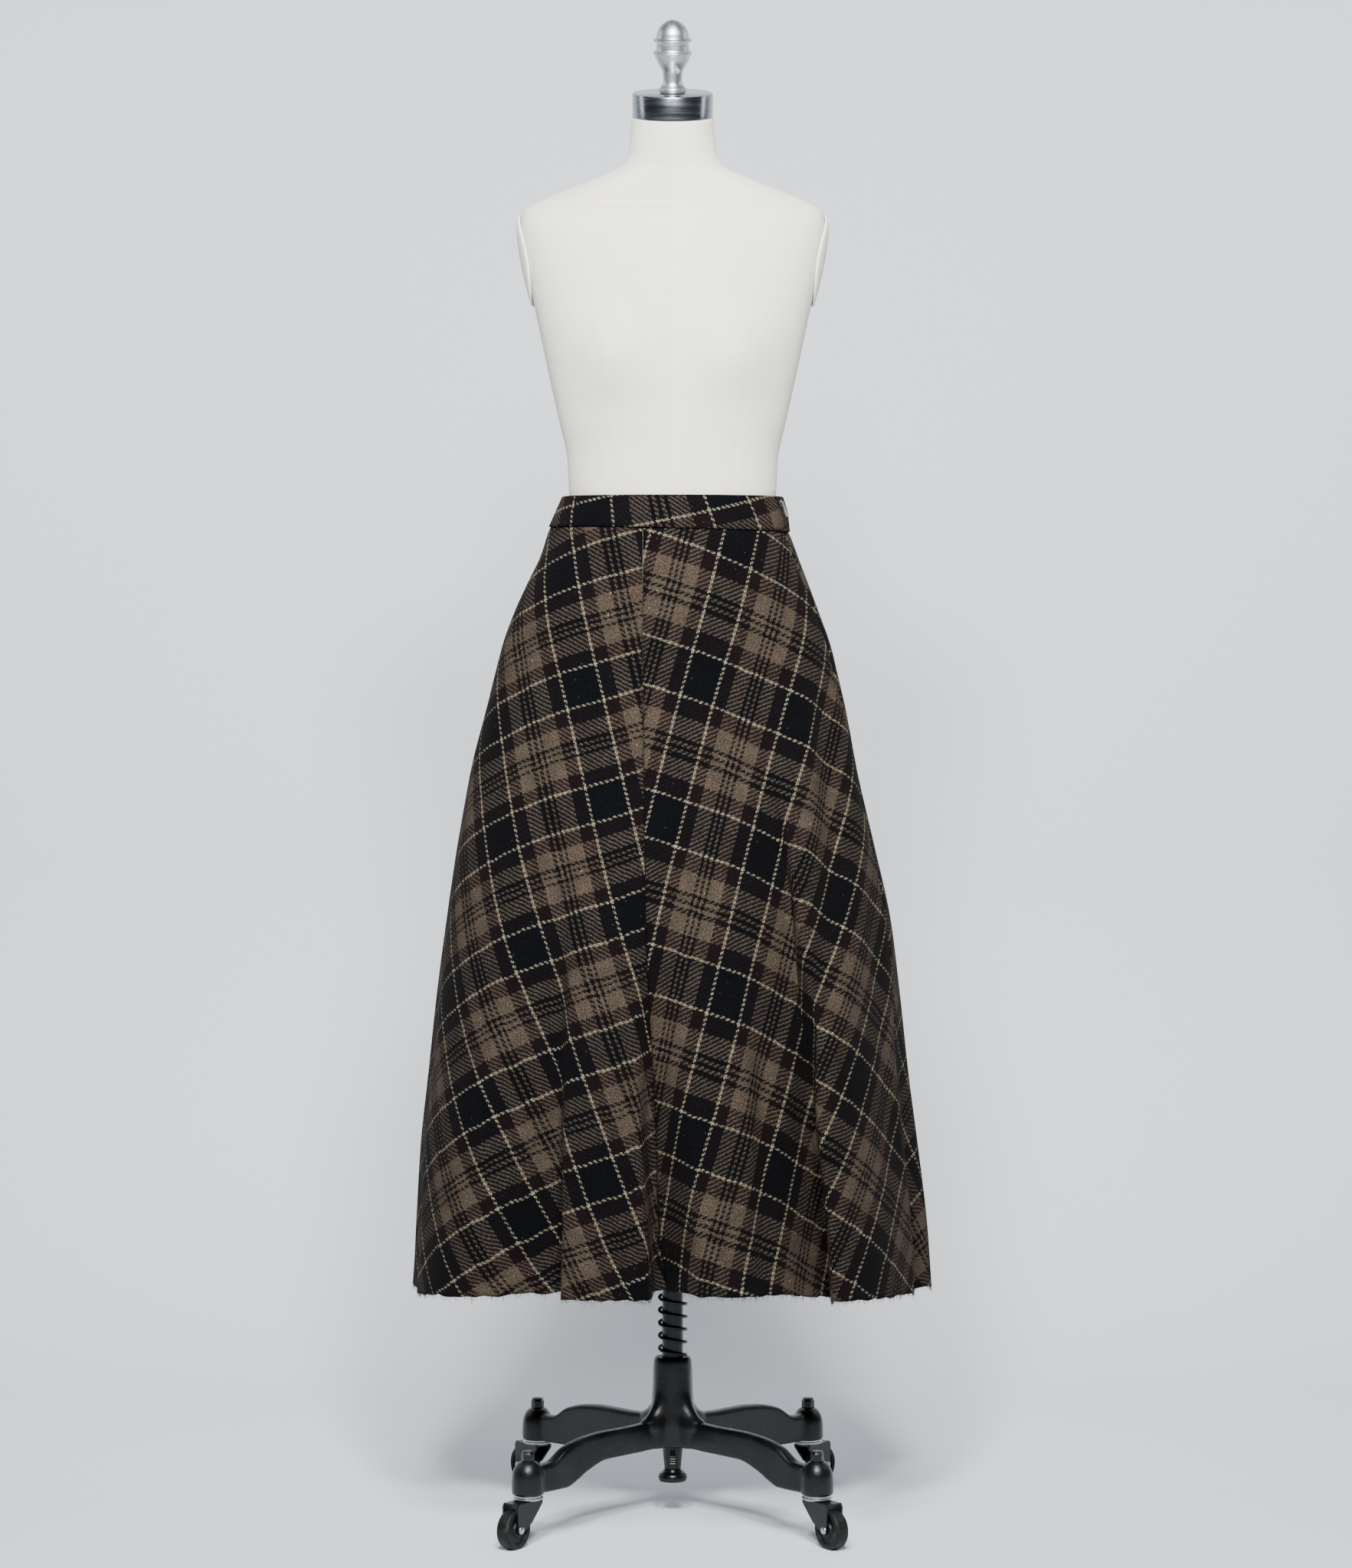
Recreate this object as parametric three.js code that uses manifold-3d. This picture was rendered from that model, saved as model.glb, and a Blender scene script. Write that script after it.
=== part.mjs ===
// A flared wool skirt cut in four bias panels, worn by a dress form on a rolling stand.
// Millimetres, +Z up. The wearer faces -Y, and the origin is on the floor under the post.
import * as THREE from "three";
import { mergeVertices } from "three/addons/utils/BufferGeometryUtils.js";
import Module from "manifold-3d";

const wasm = await Module();
wasm.setup();

// Cloth
const CLOTH = 2; // wall of a panel
const BAND_CLOTH = 4; // waistband, folded double
const SEAM_GAP = 0.3;
const WAIST_Z = 1176; // seam between the waistband and the panels
const WAIST_TILT = -0.022; // the seam drops towards the wearer's left
const BAND_TOP_Z = 1214.5;
const HEM_Z = 274; // hem at the sides
const HEM_RISE = 24; // how much higher the hem hangs at centre front
const PANEL_COLUMNS = 28;
const PANEL_ROWS = 14;
const BAND_COLUMNS = 24;
const BAND_ROWS = 2;
const RING_POINTS = 720; // fine steps round a ring, for its girth

// How far the cloth reaches from the post's axis at each height, and where the centre front seam runs.
const SKIRT = table("z left right front back seam", [
  [1176, 145.5, 138.0, 96, 91, -34.8],
  [1141, 157.0, 150.6, 101.5, 100, -34.9],
  [1114, 170.2, 161.0, 104, 106, -35.0],
  [1077, 187.5, 174.7, 106, 113, -35.0],
  [1041, 201.0, 187.5, 107.5, 118, -34.8],
  [1004, 211.0, 196.6, 110, 123, -34.6],
  [968, 220.0, 204.8, 115, 129, -34.3],
  [895, 239.0, 218.4, 131, 143, -33.5],
  [804, 256.6, 239.3, 155, 165, -32.2],
  [713, 270.0, 259.4, 177, 187, -30.0],
  [622, 282.0, 271.0, 195, 205, -26.3],
  [531, 292.0, 281.0, 208, 218, -22.2],
  [440, 302.0, 293.0, 218, 227, -19.0],
  [349, 307.6, 304.0, 226, 234, -17.2],
  [274, 312.0, 309.4, 230, 238, -16.5],
]);
const BAND = table("z left right front back seam", [
  [1176, 146.8, 139.2, 97, 92, -34.8],
  [1195, 138.6, 136.4, 93.4, 87, -34.4],
  [1214.5, 131.0, 131.0, 89, 81, -34.0],
]);
const SKIRT_POWER = 2.2; // a little squarer than an ellipse

// The flutes at the hem. turn: degrees from the front, positive to the wearer's left. lean: how far
// the fold has turned by its start. out: crest (+) or trough (-). sway: how far the fold tips sideways.
// before, after: its half widths in degrees. start: the height where it dies out.
const FLUTES = table("turn lean out sway before after start", [
  [-84, 0, -12, 0, 12, 14, 766],
  [-51, 0, 12, 0, 26, 17, 886],
  [-27, -1, -48, 16, 19, 7.5, 866],
  [-16, -1, 6, -14, 8, 9, 846],
  [1.2, -4, -58, -20, 5, 5, 806],
  [9.5, 0, 5, 0, 8, 8, 786],
  [32.5, -5, -56, 40, 17, 6.5, 1006],
  [42.5, -5, 34, -50, 10, 24, 1006],
  [79, 0, -28, 0, 13, 10, 686],
  [91, 0, 4, 0, 8, 8, 706],
  [105, 2, -40, 0, 12, 12, 846],
  [121, 0, 14, 5, 14, 14, 906],
  [138, -2, -42, 0, 12, 12, 826],
  [154, 0, 10, -4, 13, 13, 886],
  [170, 0, -38, 3, 11, 12, 806],
  [186, 0, 10, 0, 13, 13, 886],
  [203, 0, -40, -4, 12, 12, 826],
  [221, 2, 14, 6, 13, 16, 906],
  [241, 0, -38, 0, 13, 13, 846],
]);
const FLUTE_GROWTH = 1.25;

// Dress form: half width, reach to the front and back, and squareness at each height.
const FORM = table("z half front back power", [
  [911, 170, 96, 112, 2.1],
  [968, 175, 101, 118, 2.1],
  [1041, 169.5, 102.3, 113, 2.1],
  [1114, 152.5, 100, 101, 2.1],
  [1141, 144, 98, 95.4, 2.1],
  [1176, 133.2, 92.3, 86.6, 2.1],
  [1214, 122.8, 84.2, 75.8, 2.15],
  [1259, 125.0, 86, 77, 2.2],
  [1305, 134.7, 90, 84, 2.3],
  [1350, 144.7, 94, 94, 2.3],
  [1396, 154.5, 94.5, 101, 2.35],
  [1441, 164.0, 88, 104, 2.5],
  [1487, 173.5, 78, 102, 2.7],
  [1510, 177.5, 73, 98, 2.8],
  [1531, 180.0, 68, 92, 2.8],
  [1549, 178.0, 62, 84, 2.6],
  [1561, 162.0, 57, 75, 2.3],
  [1577, 124.0, 53, 65, 2.1],
  [1593, 84.0, 50.5, 58.5, 2.0],
  [1604, 61.0, 50, 55, 2.0],
  [1616, 53.5, 50, 52, 2.0],
  [1636, 50.2, 51.5, 48.5, 2.0],
  [1662, 48.3, 54, 42.6, 2.0],
]);
const BUST = { x: 74, z: 1378, out: 21, wide: 44, tall: 46 };
const NECK_Z = 1606; // neck seam
const NECK_TOP_Z = 1662;
const HEAD_TILT = THREE.MathUtils.degToRad(14); // the neck leans forward
const FORM_SEGMENTS = 32;
const ARM_PLATE = { y: 8, z: 1494, deep: 40, tall: 54, thick: 4.5, edge: 2.5 };

// Cap and finial on the neck, along their own leaning axis
const CAP = { radius: 47.7, height: 28, y: -5.7 };
const FINIAL = table("r z", [
  [0, 0], [13.5, 0], [15.7, 2], [15.9, 5], [12.4, 9], [11.2, 13.4], [11.5, 19.3], [12.4, 25],
  [15.7, 31.2], [18.9, 37.2], [21.3, 43.1], [22.9, 46.9], [20, 49], [19.4, 53], [19.6, 57.5],
  [23, 61.2], [20, 63.4], [19.2, 66], [18.4, 70.5], [15.5, 75.9], [11.2, 80.3], [5.5, 83.8], [0, 85],
]);
const KNOB_SCREW = { r: 3.6, stem: 1.8, x: 5.6, y: -14.6, z: 27.5 };

// Post, spring and stand
const POST = { r: 12.5, bottom: 134, top: 898.7 };
const TOP_FLANGE = { r: 46, hub: 20, bottom: 899, shelf: 903, top: 910.7 };
const SPRING = { r: 16, wire: 2, bottom: 190.3, top: 372, pitch: 15.2, sides: 5, steps: 8 };
const COLLAR = { r: 21, top: 390 };
const CLEAR = 0.3; // between seated pieces
const RUNNING = 0.6; // round the post, the rod and the axles
const HUB_TOP = 190;
const HUB_BOTTOM = 84;
const HUB_SEGMENTS = 24;
const BORE_STEP_Z = 99; // the post's bore narrows to the rod's here
const HUB = table("z core lobe", [
  [84, 23, 16],
  [88, 27, 17],
  [104, 27.5, 20],
  [110, 27.5, 26],
  [117, 27, 24],
  [121, 26.6, 17],
  [125, 26, 12.5],
  [136, 25.2, 5],
  [151, 24.2, 1],
  [186, 22.7, 0],
  [190, 20.6, 0],
]);
const ROD = { r: 8, bottom: 55.4, teeth: 9, pitch: 2.8, deep: 1.3, wide: 6, first: 60 };
const SLEEVE = { top: 12.6, low: 9.9, bottom: 56, slot: 6, slotTop: 80, slotBottom: 60 };
const FOOT = table("r z", [
  [0, 55.2], [9.6, 55.2], [11.6, 52.4], [15.4, 50],
  [17.2, 46], [16.6, 42.4], [14, 40.4], [0, 40.4],
]);
const CASTER_OUT = 167; // each caster stem from the middle, in X and in Y
// A leg from the hub to its caster socket, by distance from the post's axis.
const LEG = table("r top bottom wide", [
  [16, 118, 85, 15],
  [52, 116.5, 84, 16],
  [76, 115.5, 83.6, 16],
  [116, 115.6, 82.8, 16],
  [146, 113.4, 74, 16],
  [164, 110, 65, 16],
  [180, 105, 59, 16.5],
  [204, 91.5, 58.6, 18],
  [236, 90, 59, 18],
]);
const LEG_CHAMFER = 4;
const SOCKET = table("r z", [
  [0, 58.6], [17.2, 58.6], [18.8, 61], [18.6, 78], [17, 87], [13, 94], [8, 97.4], [0, 97.4],
]);
const NUT = table("r z", [[0, 97.7], [8, 97.7], [8, 106], [6.6, 107.4], [6.6, 109.4], [0, 109.8]]);
const RACE = table("r z", [
  [0, 52.9], [15.6, 52.9], [17.6, 54.4], [17.6, 55.8], [16, 56.6], [16, 58.3], [0, 58.3],
]);
const WHEEL = { r: 22.7, wide: 16.6, bore: 3.6, segments: 18 };
const FORK = { trail: 27, back: 13, top: 52.6, plate: 2, skirt: 4, cheek: 2.4, clear: 0.8, eye: 5.6 };
const FORK_HEEL = { x: 6, z: 29 }; // where the cheek's rear edge starts down to the axle
const AXLE = { r: 3, head: 4.4, headThick: 1.6 };
// Where each caster trails: across and along share of its trail.
const CASTERS = table("name x y across along", [
  ["front_left", -1, -1, -0.59, -0.81],
  ["front_right", 1, -1, 0.59, -0.81],
  ["rear_left", -1, 1, -0.59, 0.81],
  ["rear_right", 1, 1, 0.59, 0.81],
]);

// Concealed zip in the wearer's left side seam
const ZIP = { drop: 9, wide: 4.6, tall: 8, thick: 2.2, tabWide: 5.2, tabLong: 19, tabThick: 1.2 };

// Finishes
const WOOL = finish(0x4a4038, 0.95, 0);
const LINEN = finish(0xd9d6c6, 0.85, 0);
const STEEL = finish(0x9a9ea4, 0.35, 0.9);
const CAST_METAL = finish(0xb4b6b8, 0.45, 0.8);
const BLACK_ENAMEL = finish(0x15181a, 0.4, 0.3);
const BLACK_RUBBER = finish(0x16181a, 0.6, 0);

// Rows of a table as objects with named columns.
function table(columns, rows) {
  const names = columns.split(" ");
  return rows.map((row) => Object.fromEntries(names.map((name, i) => [name, row[i]])));
}

function finish(color, roughness, metalness) {
  return new THREE.MeshStandardMaterial({ color, roughness, metalness });
}

// A smooth curve through one column of a table against another, with no overshoot.
function curveOf(rows, across, up) {
  const sorted = [...rows].sort((p, q) => p[across] - q[across]);
  const x = sorted.map((row) => row[across]);
  const y = sorted.map((row) => row[up]);
  const slope = x.slice(1).map((v, i) => (y[i + 1] - y[i]) / (v - x[i]));
  const bend = x.map((_, i) => {
    if (i === 0) return slope[0];
    if (i === x.length - 1) return slope[i - 1];
    const [a, b] = [slope[i - 1], slope[i]];
    return a * b <= 0 ? 0 : (2 * a * b) / (a + b);
  });
  return (at) => {
    const v = THREE.MathUtils.clamp(at, x[0], x[x.length - 1]);
    let i = 0;
    while (i < x.length - 2 && v > x[i + 1]) i++;
    const step = x[i + 1] - x[i];
    const s = (v - x[i]) / step;
    const [s2, s3] = [s * s, s * s * s];
    return (
      y[i] * (2 * s3 - 3 * s2 + 1) +
      y[i + 1] * (3 * s2 - 2 * s3) +
      step * (bend[i] * (s3 - 2 * s2 + s) + bend[i + 1] * (s3 - s2))
    );
  };
}

function curvesOf(rows, across) {
  const names = Object.keys(rows[0]).filter((name) => name !== across);
  return Object.fromEntries(names.map((name) => [name, curveOf(rows, across, name)]));
}

const powered = (value, power) => Math.sign(value) * Math.abs(value) ** (2 / power);

// Closed geometry from points and triangles, turned so that its faces point out.
function closedGeometry(points, triangles) {
  let volume = 0;
  for (const [a, b, c] of triangles) {
    volume += points[a].dot(new THREE.Vector3().crossVectors(points[b], points[c]));
  }
  const faces = volume < 0 ? triangles.map(([a, b, c]) => [a, c, b]) : triangles;
  const geometry = new THREE.BufferGeometry().setFromPoints(points);
  geometry.setIndex(faces.flat());
  geometry.computeVertexNormals();
  return geometry;
}

// A solid through rings of points, closed at both ends.
function loft(rings) {
  const count = rings[0].length;
  const points = rings.flat();
  const triangles = [];
  for (let i = 0; i < rings.length - 1; i++) {
    for (let j = 0; j < count; j++) {
      const [a, b] = [i * count + j, i * count + ((j + 1) % count)];
      triangles.push([a, b, b + count], [a, b + count, a + count]);
    }
  }
  for (const [ring, flip] of [[0, true], [rings.length - 1, false]]) {
    const middle = new THREE.Vector3();
    rings[ring].forEach((point) => middle.addScaledVector(point, 1 / count));
    points.push(middle);
    for (let j = 0; j < count; j++) {
      const [a, b] = [ring * count + j, ring * count + ((j + 1) % count)];
      triangles.push(flip ? [b, a, points.length - 1] : [a, b, points.length - 1]);
    }
  }
  return closedGeometry(points, triangles);
}

// A wall between two grids of points, closed round its four edges.
function wall(outer, inner) {
  const [rows, columns] = [outer.length, outer[0].length];
  const points = [...outer.flat(), ...inner.flat()];
  const at = (side, i, j) => side * rows * columns + i * columns + j;
  const triangles = [];
  const quad = (a, b, c, d) => triangles.push([a, b, c], [a, c, d]);
  for (let i = 0; i < rows - 1; i++) {
    for (let j = 0; j < columns - 1; j++) {
      quad(at(0, i, j), at(0, i + 1, j), at(0, i + 1, j + 1), at(0, i, j + 1));
      quad(at(1, i, j), at(1, i, j + 1), at(1, i + 1, j + 1), at(1, i + 1, j));
    }
    const last = columns - 1;
    quad(at(0, i, 0), at(1, i, 0), at(1, i + 1, 0), at(0, i + 1, 0));
    quad(at(0, i, last), at(0, i + 1, last), at(1, i + 1, last), at(1, i, last));
  }
  for (let j = 0; j < columns - 1; j++) {
    const last = rows - 1;
    quad(at(0, 0, j), at(0, 0, j + 1), at(1, 0, j + 1), at(1, 0, j));
    quad(at(0, last, j), at(1, last, j), at(1, last, j + 1), at(0, last, j + 1));
  }
  return closedGeometry(points, triangles);
}

// A turned piece about +Z from rows of r and z.
function turned(rows, segments, start = 0) {
  const profile = [...rows];
  const area = profile.reduce((sum, p, i) => {
    const q = profile[(i + 1) % profile.length];
    return sum + p.r * q.z - q.r * p.z;
  }, 0);
  if (area < 0) profile.reverse();
  const ends = profile[0].r === 0 ? profile : [...profile, profile[0]];
  const points = ends.map(({ r, z }) => new THREE.Vector2(r, z));
  return new THREE.LatheGeometry(points, segments, start).rotateX(Math.PI / 2);
}

function solidOf(geometry) {
  const plain = geometry.clone();
  plain.deleteAttribute("normal");
  plain.deleteAttribute("uv");
  const merged = mergeVertices(plain, 1e-4);
  const indices = merged.index.array;
  return new wasm.Manifold(
    new wasm.Mesh({
      numProp: 3,
      vertProperties: new Float32Array(merged.attributes.position.array),
      triVerts: new Uint32Array(indices),
    }),
  );
}

function geometryOf(solid) {
  const mesh = solid.getMesh();
  const geometry = new THREE.BufferGeometry();
  geometry.setAttribute("position", new THREE.BufferAttribute(mesh.vertProperties, 3));
  geometry.setIndex(new THREE.BufferAttribute(mesh.triVerts, 1));
  geometry.computeVertexNormals();
  return geometry;
}

function mesh(name, geometry, material) {
  const piece = new THREE.Mesh(geometry, material);
  piece.name = name;
  return piece;
}

// Cloth rings

const bump = (x) => (Math.abs(x) < 1 ? (1 + Math.cos(Math.PI * x)) / 2 : 0);

// How far the flutes push the cloth out and sideways at one turn and height.
function fluteAt(turn, z) {
  const push = { out: 0, sway: 0 };
  for (const flute of FLUTES) {
    if (z >= flute.start) continue;
    const grown = ((flute.start - z) / (flute.start - HEM_Z)) ** FLUTE_GROWTH;
    const middle = flute.turn + flute.lean * (1 - grown);
    const away = THREE.MathUtils.euclideanModulo(turn - middle + 180, 360) - 180;
    const share = grown * bump(away / (away < 0 ? flute.before : flute.after));
    push.out += flute.out * share;
    push.sway += flute.sway * share;
  }
  return push;
}

// One closed ring of cloth at a height, with the girth from the centre front seam at each point.
function ringAt(z, reach, fluted) {
  const power = SKIRT_POWER;
  const [left, right, front, back] = ["left", "right", "front", "back"].map((k) => reach[k](z));
  const half = (left + right) / 2;
  const deep = (front + back) / 2;
  const points = [];
  for (let k = 0; k < RING_POINTS; k++) {
    const turn = (360 * k) / RING_POINTS;
    const radians = THREE.MathUtils.degToRad(turn);
    const [s, c] = [Math.sin(radians), Math.cos(radians)];
    const push = fluted ? fluteAt(turn, z) : { out: 0, sway: 0 };
    const normal = new THREE.Vector2(s / half, -c / deep).normalize();
    const along = new THREE.Vector2(-normal.y, normal.x);
    const point = new THREE.Vector2(half * powered(s, power), -deep * powered(c, power));
    points.push(point.addScaledVector(normal, push.out).addScaledVector(along, push.sway));
  }
  const xs = points.map((p) => p.x);
  const ys = points.map((p) => p.y);
  const [x0, x1] = [Math.min(...xs), Math.max(...xs)];
  const [y0, y1] = [Math.min(...ys), Math.max(...ys)];
  for (const p of points) {
    p.x = -left + ((p.x - x0) * (left + right)) / (x1 - x0);
    p.y = -front + ((p.y - y0) * (front + back)) / (y1 - y0);
  }
  const girth = [0];
  for (let k = 0; k < RING_POINTS; k++) {
    girth.push(girth[k] + points[k].distanceTo(points[(k + 1) % RING_POINTS]));
  }
  let seam = RING_POINTS;
  while (points[seam - 1].x > reach.seam(z)) seam--;
  const [p, q] = [points[seam - 1], points[seam % RING_POINTS]];
  const share = (reach.seam(z) - p.x) / (q.x - p.x);
  const seamGirth = girth[seam - 1] + share * (girth[seam] - girth[seam - 1]);
  return { points, girth, seamGirth, total: girth[RING_POINTS] };
}

// A point of a ring by its share of the girth from the centre front seam, towards the wearer's left.
function pointOnRing(ring, share) {
  const at = THREE.MathUtils.euclideanModulo(ring.seamGirth + share * ring.total, ring.total);
  let [low, high] = [0, RING_POINTS];
  while (high - low > 1) {
    const middle = (low + high) >> 1;
    if (ring.girth[middle] <= at) low = middle;
    else high = middle;
  }
  const s = (at - ring.girth[low]) / (ring.girth[high] - ring.girth[low]);
  return ring.points[low].clone().lerp(ring.points[high % RING_POINTS], s);
}

const skirtReach = curvesOf(SKIRT, "z");
const bandReach = curvesOf(BAND, "z");
const ringCache = new Map();

function cachedRing(kind, z) {
  const key = `${kind} ${z.toFixed(4)}`;
  if (!ringCache.has(key)) {
    ringCache.set(key, ringAt(z, kind === "band" ? bandReach : skirtReach, kind !== "band"));
  }
  return ringCache.get(key);
}

const waistSeamZ = (x) => WAIST_TILT * x;

// Outer face of the panels: level 0 at the waist seam, 1 at the hem.
function panelPoint(level, share) {
  const z = WAIST_Z - SEAM_GAP - level * (WAIST_Z - SEAM_GAP - HEM_Z);
  const flat = pointOnRing(cachedRing("panel", z), share);
  const front = Math.max(0, -flat.y) / Math.hypot(flat.x, flat.y);
  const lift = level ** 2 * HEM_RISE * front + (1 - level) ** 6 * waistSeamZ(flat.x);
  return new THREE.Vector3(flat.x, flat.y, z + lift);
}

// Outer face of the waistband: level 0 at its top, 1 at the seam.
function bandPoint(level, share) {
  const z = BAND_TOP_Z - level * (BAND_TOP_Z - WAIST_Z);
  const flat = pointOnRing(cachedRing("band", z), share);
  return new THREE.Vector3(flat.x, flat.y, z + level * waistSeamZ(flat.x));
}

// The level direction straight out of the cloth.
function outward(surface, level, share) {
  const step = 1e-3;
  const round = surface(level, share + step).sub(surface(level, share - step));
  return new THREE.Vector3(round.y, -round.x, 0).normalize();
}

// A cloth piece between two shares of the girth.
function clothPiece(surface, from, to, columns, rows, thick, girthAtTop, girthAtHem) {
  const [outer, inner] = [[], []];
  for (let i = 0; i <= rows; i++) {
    const level = i / rows;
    const girth = girthAtTop + level * (girthAtHem - girthAtTop);
    const trim = SEAM_GAP / 2 / girth;
    const [a, b] = [from + trim, to - trim];
    outer.push([]);
    inner.push([]);
    for (let j = 0; j <= columns; j++) {
      const share = a + ((b - a) * j) / columns;
      const point = surface(level, share);
      const normal = outward(surface, level, share);
      outer[i].push(point);
      inner[i].push(point.clone().addScaledVector(normal, -thick));
    }
  }
  return wall(outer, inner);
}

function panel(name, from, to) {
  const top = cachedRing("panel", WAIST_Z - SEAM_GAP).total;
  const hem = cachedRing("panel", HEM_Z).total;
  const geometry = clothPiece(panelPoint, from, to, PANEL_COLUMNS, PANEL_ROWS, CLOTH, top, hem);
  return mesh(name, geometry, WOOL);
}

function waistband(name, from, to) {
  const top = cachedRing("band", BAND_TOP_Z).total;
  const bottom = cachedRing("band", WAIST_Z).total;
  const geometry = clothPiece(bandPoint, from, to, BAND_COLUMNS, BAND_ROWS, BAND_CLOTH, top, bottom);
  return mesh(name, geometry, WOOL);
}

// Dress form

const formReach = curvesOf(FORM, "z");

function bustAt(x, z) {
  const across = (Math.abs(x) - BUST.x) / BUST.wide;
  const up = (z - BUST.z) / BUST.tall;
  return BUST.out * Math.exp(-across * across - up * up);
}

function neckTilt(z) {
  const s = THREE.MathUtils.clamp((z - NECK_Z) / (NECK_TOP_Z - NECK_Z), 0, 1);
  return s * s * (3 - 2 * s) * Math.tan(HEAD_TILT);
}

function formRing(z) {
  const [half, front, back, power] = ["half", "front", "back", "power"].map((k) => formReach[k](z));
  const ring = [];
  for (let k = 0; k < FORM_SEGMENTS; k++) {
    const angle = (2 * Math.PI * k) / FORM_SEGMENTS;
    const [s, c] = [Math.sin(angle), Math.cos(angle)];
    const x = half * powered(s, power);
    const y = c > 0 ? -front * powered(c, power) : -back * powered(c, power);
    const bust = c > 0 ? bustAt(x, z) * Math.sqrt(c) : 0;
    ring.push(new THREE.Vector3(x, y - bust, z + (y - CAP.y) * neckTilt(z)));
  }
  return ring;
}

function torso() {
  return mesh("form_torso", loft(FORM.map((row) => formRing(row.z))), LINEN);
}

// The form's side face, by depth and height.
function sidePoint(side, y, z) {
  const [half, front, back, power] = ["half", "front", "back", "power"].map((k) => formReach[k](z));
  const share = Math.min(0.98, Math.abs(y) / (y < 0 ? front : back));
  return new THREE.Vector3(side * half * (1 - share ** power) ** (1 / power), y, z);
}

function armPlate(name, side) {
  const rings = 3;
  const around = 16;
  const place = (share, angle, out) => {
    const y = ARM_PLATE.y + share * ARM_PLATE.deep * Math.cos(angle);
    const z = ARM_PLATE.z + share * ARM_PLATE.tall * Math.sin(angle);
    const step = 0.5;
    const along = sidePoint(side, y + step, z).sub(sidePoint(side, y - step, z));
    const up = sidePoint(side, y, z + step).sub(sidePoint(side, y, z - step));
    const normal = new THREE.Vector3().crossVectors(along, up).normalize();
    if (normal.x * side < 0) normal.negate();
    return sidePoint(side, y, z).addScaledVector(normal, out);
  };
  const stack = [];
  const seat = 4 * CLEAR; // the torso's flat facets stay inside this
  for (let i = 1; i <= rings; i++) stack.push([i / rings, seat]);
  for (let i = rings; i >= 1; i--) {
    const share = i / rings;
    const dome = ARM_PLATE.thick - ARM_PLATE.edge;
    stack.push([share, seat + ARM_PLATE.edge + dome * (1 - share * share)]);
  }
  const points = stack.map(([share, out]) =>
    Array.from({ length: around }, (_, k) => place(share, (2 * Math.PI * k) / around, out)),
  );
  return mesh(name, loft(points), LINEN);
}

function headPieces() {
  const head = new THREE.Group();
  head.position.set(0, CAP.y, NECK_TOP_Z + CLEAR);
  head.rotation.x = HEAD_TILT;
  const { radius, height } = CAP;
  const capRows = table("r z", [
    [0, 0], [radius, 0], [radius, height - 1.2], [radius - 1.2, height], [0, height],
  ]);
  head.add(mesh("neck_cap", turned(capRows, 24), STEEL));
  const finial = mesh("finial", turned(FINIAL, 14), CAST_METAL);
  finial.position.z = height + CLEAR;
  head.add(finial);
  const { r, stem, x, y, z } = KNOB_SCREW;
  const screwRows = table("r z", [[0, 0], [stem, 0], [stem, 5], [r, 5.6], [r, 8.6], [0, 9.4]]);
  const screw = mesh("finial_screw", turned(screwRows, 10).rotateX(Math.PI / 2), CAST_METAL);
  screw.position.set(x, y, height + CLEAR + z);
  head.add(screw);
  return head;
}

// Stand

function postPieces() {
  const { r, bottom, top } = POST;
  const postRows = table("r z", [[0, bottom], [r, bottom], [r, top], [0, top]]);
  const flangeRows = table("r z", [
    [0, TOP_FLANGE.bottom], [TOP_FLANGE.hub, TOP_FLANGE.bottom],
    [TOP_FLANGE.hub + 4, TOP_FLANGE.shelf], [TOP_FLANGE.r, TOP_FLANGE.shelf],
    [TOP_FLANGE.r, TOP_FLANGE.top], [0, TOP_FLANGE.top],
  ]);
  const inside = r + CLEAR;
  const collarRows = table("r z", [
    [inside, SPRING.top + CLEAR], [COLLAR.r - 1.5, SPRING.top + CLEAR],
    [COLLAR.r, SPRING.top + CLEAR + 1.5], [COLLAR.r, COLLAR.top - 1.5],
    [COLLAR.r - 1.5, COLLAR.top], [inside, COLLAR.top],
  ]);
  return [
    mesh("post", turned(postRows, 20), BLACK_ENAMEL),
    mesh("top_flange", turned(flangeRows, 16), BLACK_ENAMEL),
    mesh("spring_collar", turned(collarRows, 16), BLACK_ENAMEL),
    mesh("height_rod", geometryOf(toothedRod()), BLACK_ENAMEL),
    mesh("rod_foot", turned(FOOT, 16), BLACK_ENAMEL),
  ];
}

// The rod under the post, with ratchet teeth cut across its front.
function toothedRod() {
  const rows = table("r z", [
    [0, ROD.bottom], [ROD.r, ROD.bottom], [ROD.r, POST.bottom - CLEAR], [0, POST.bottom - CLEAR],
  ]);
  let rod = solidOf(turned(rows, 16));
  for (let i = 0; i < ROD.teeth; i++) {
    const notch = new THREE.BoxGeometry(ROD.wide, 2 * ROD.deep, ROD.pitch / 2);
    notch.rotateX(-0.5);
    notch.translate(0, -ROD.r, ROD.first + i * ROD.pitch);
    rod = rod.subtract(solidOf(notch));
  }
  return rod;
}

class Helix extends THREE.Curve {
  getPoint(s, target = new THREE.Vector3()) {
    const rise = SPRING.top - SPRING.bottom - 2 * SPRING.wire;
    const angle = (-2 * Math.PI * s * rise) / SPRING.pitch; // wound left-handed
    const z = SPRING.bottom + SPRING.wire + s * rise;
    return target.set(SPRING.r * Math.cos(angle), SPRING.r * Math.sin(angle), z);
  }
}

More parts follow.
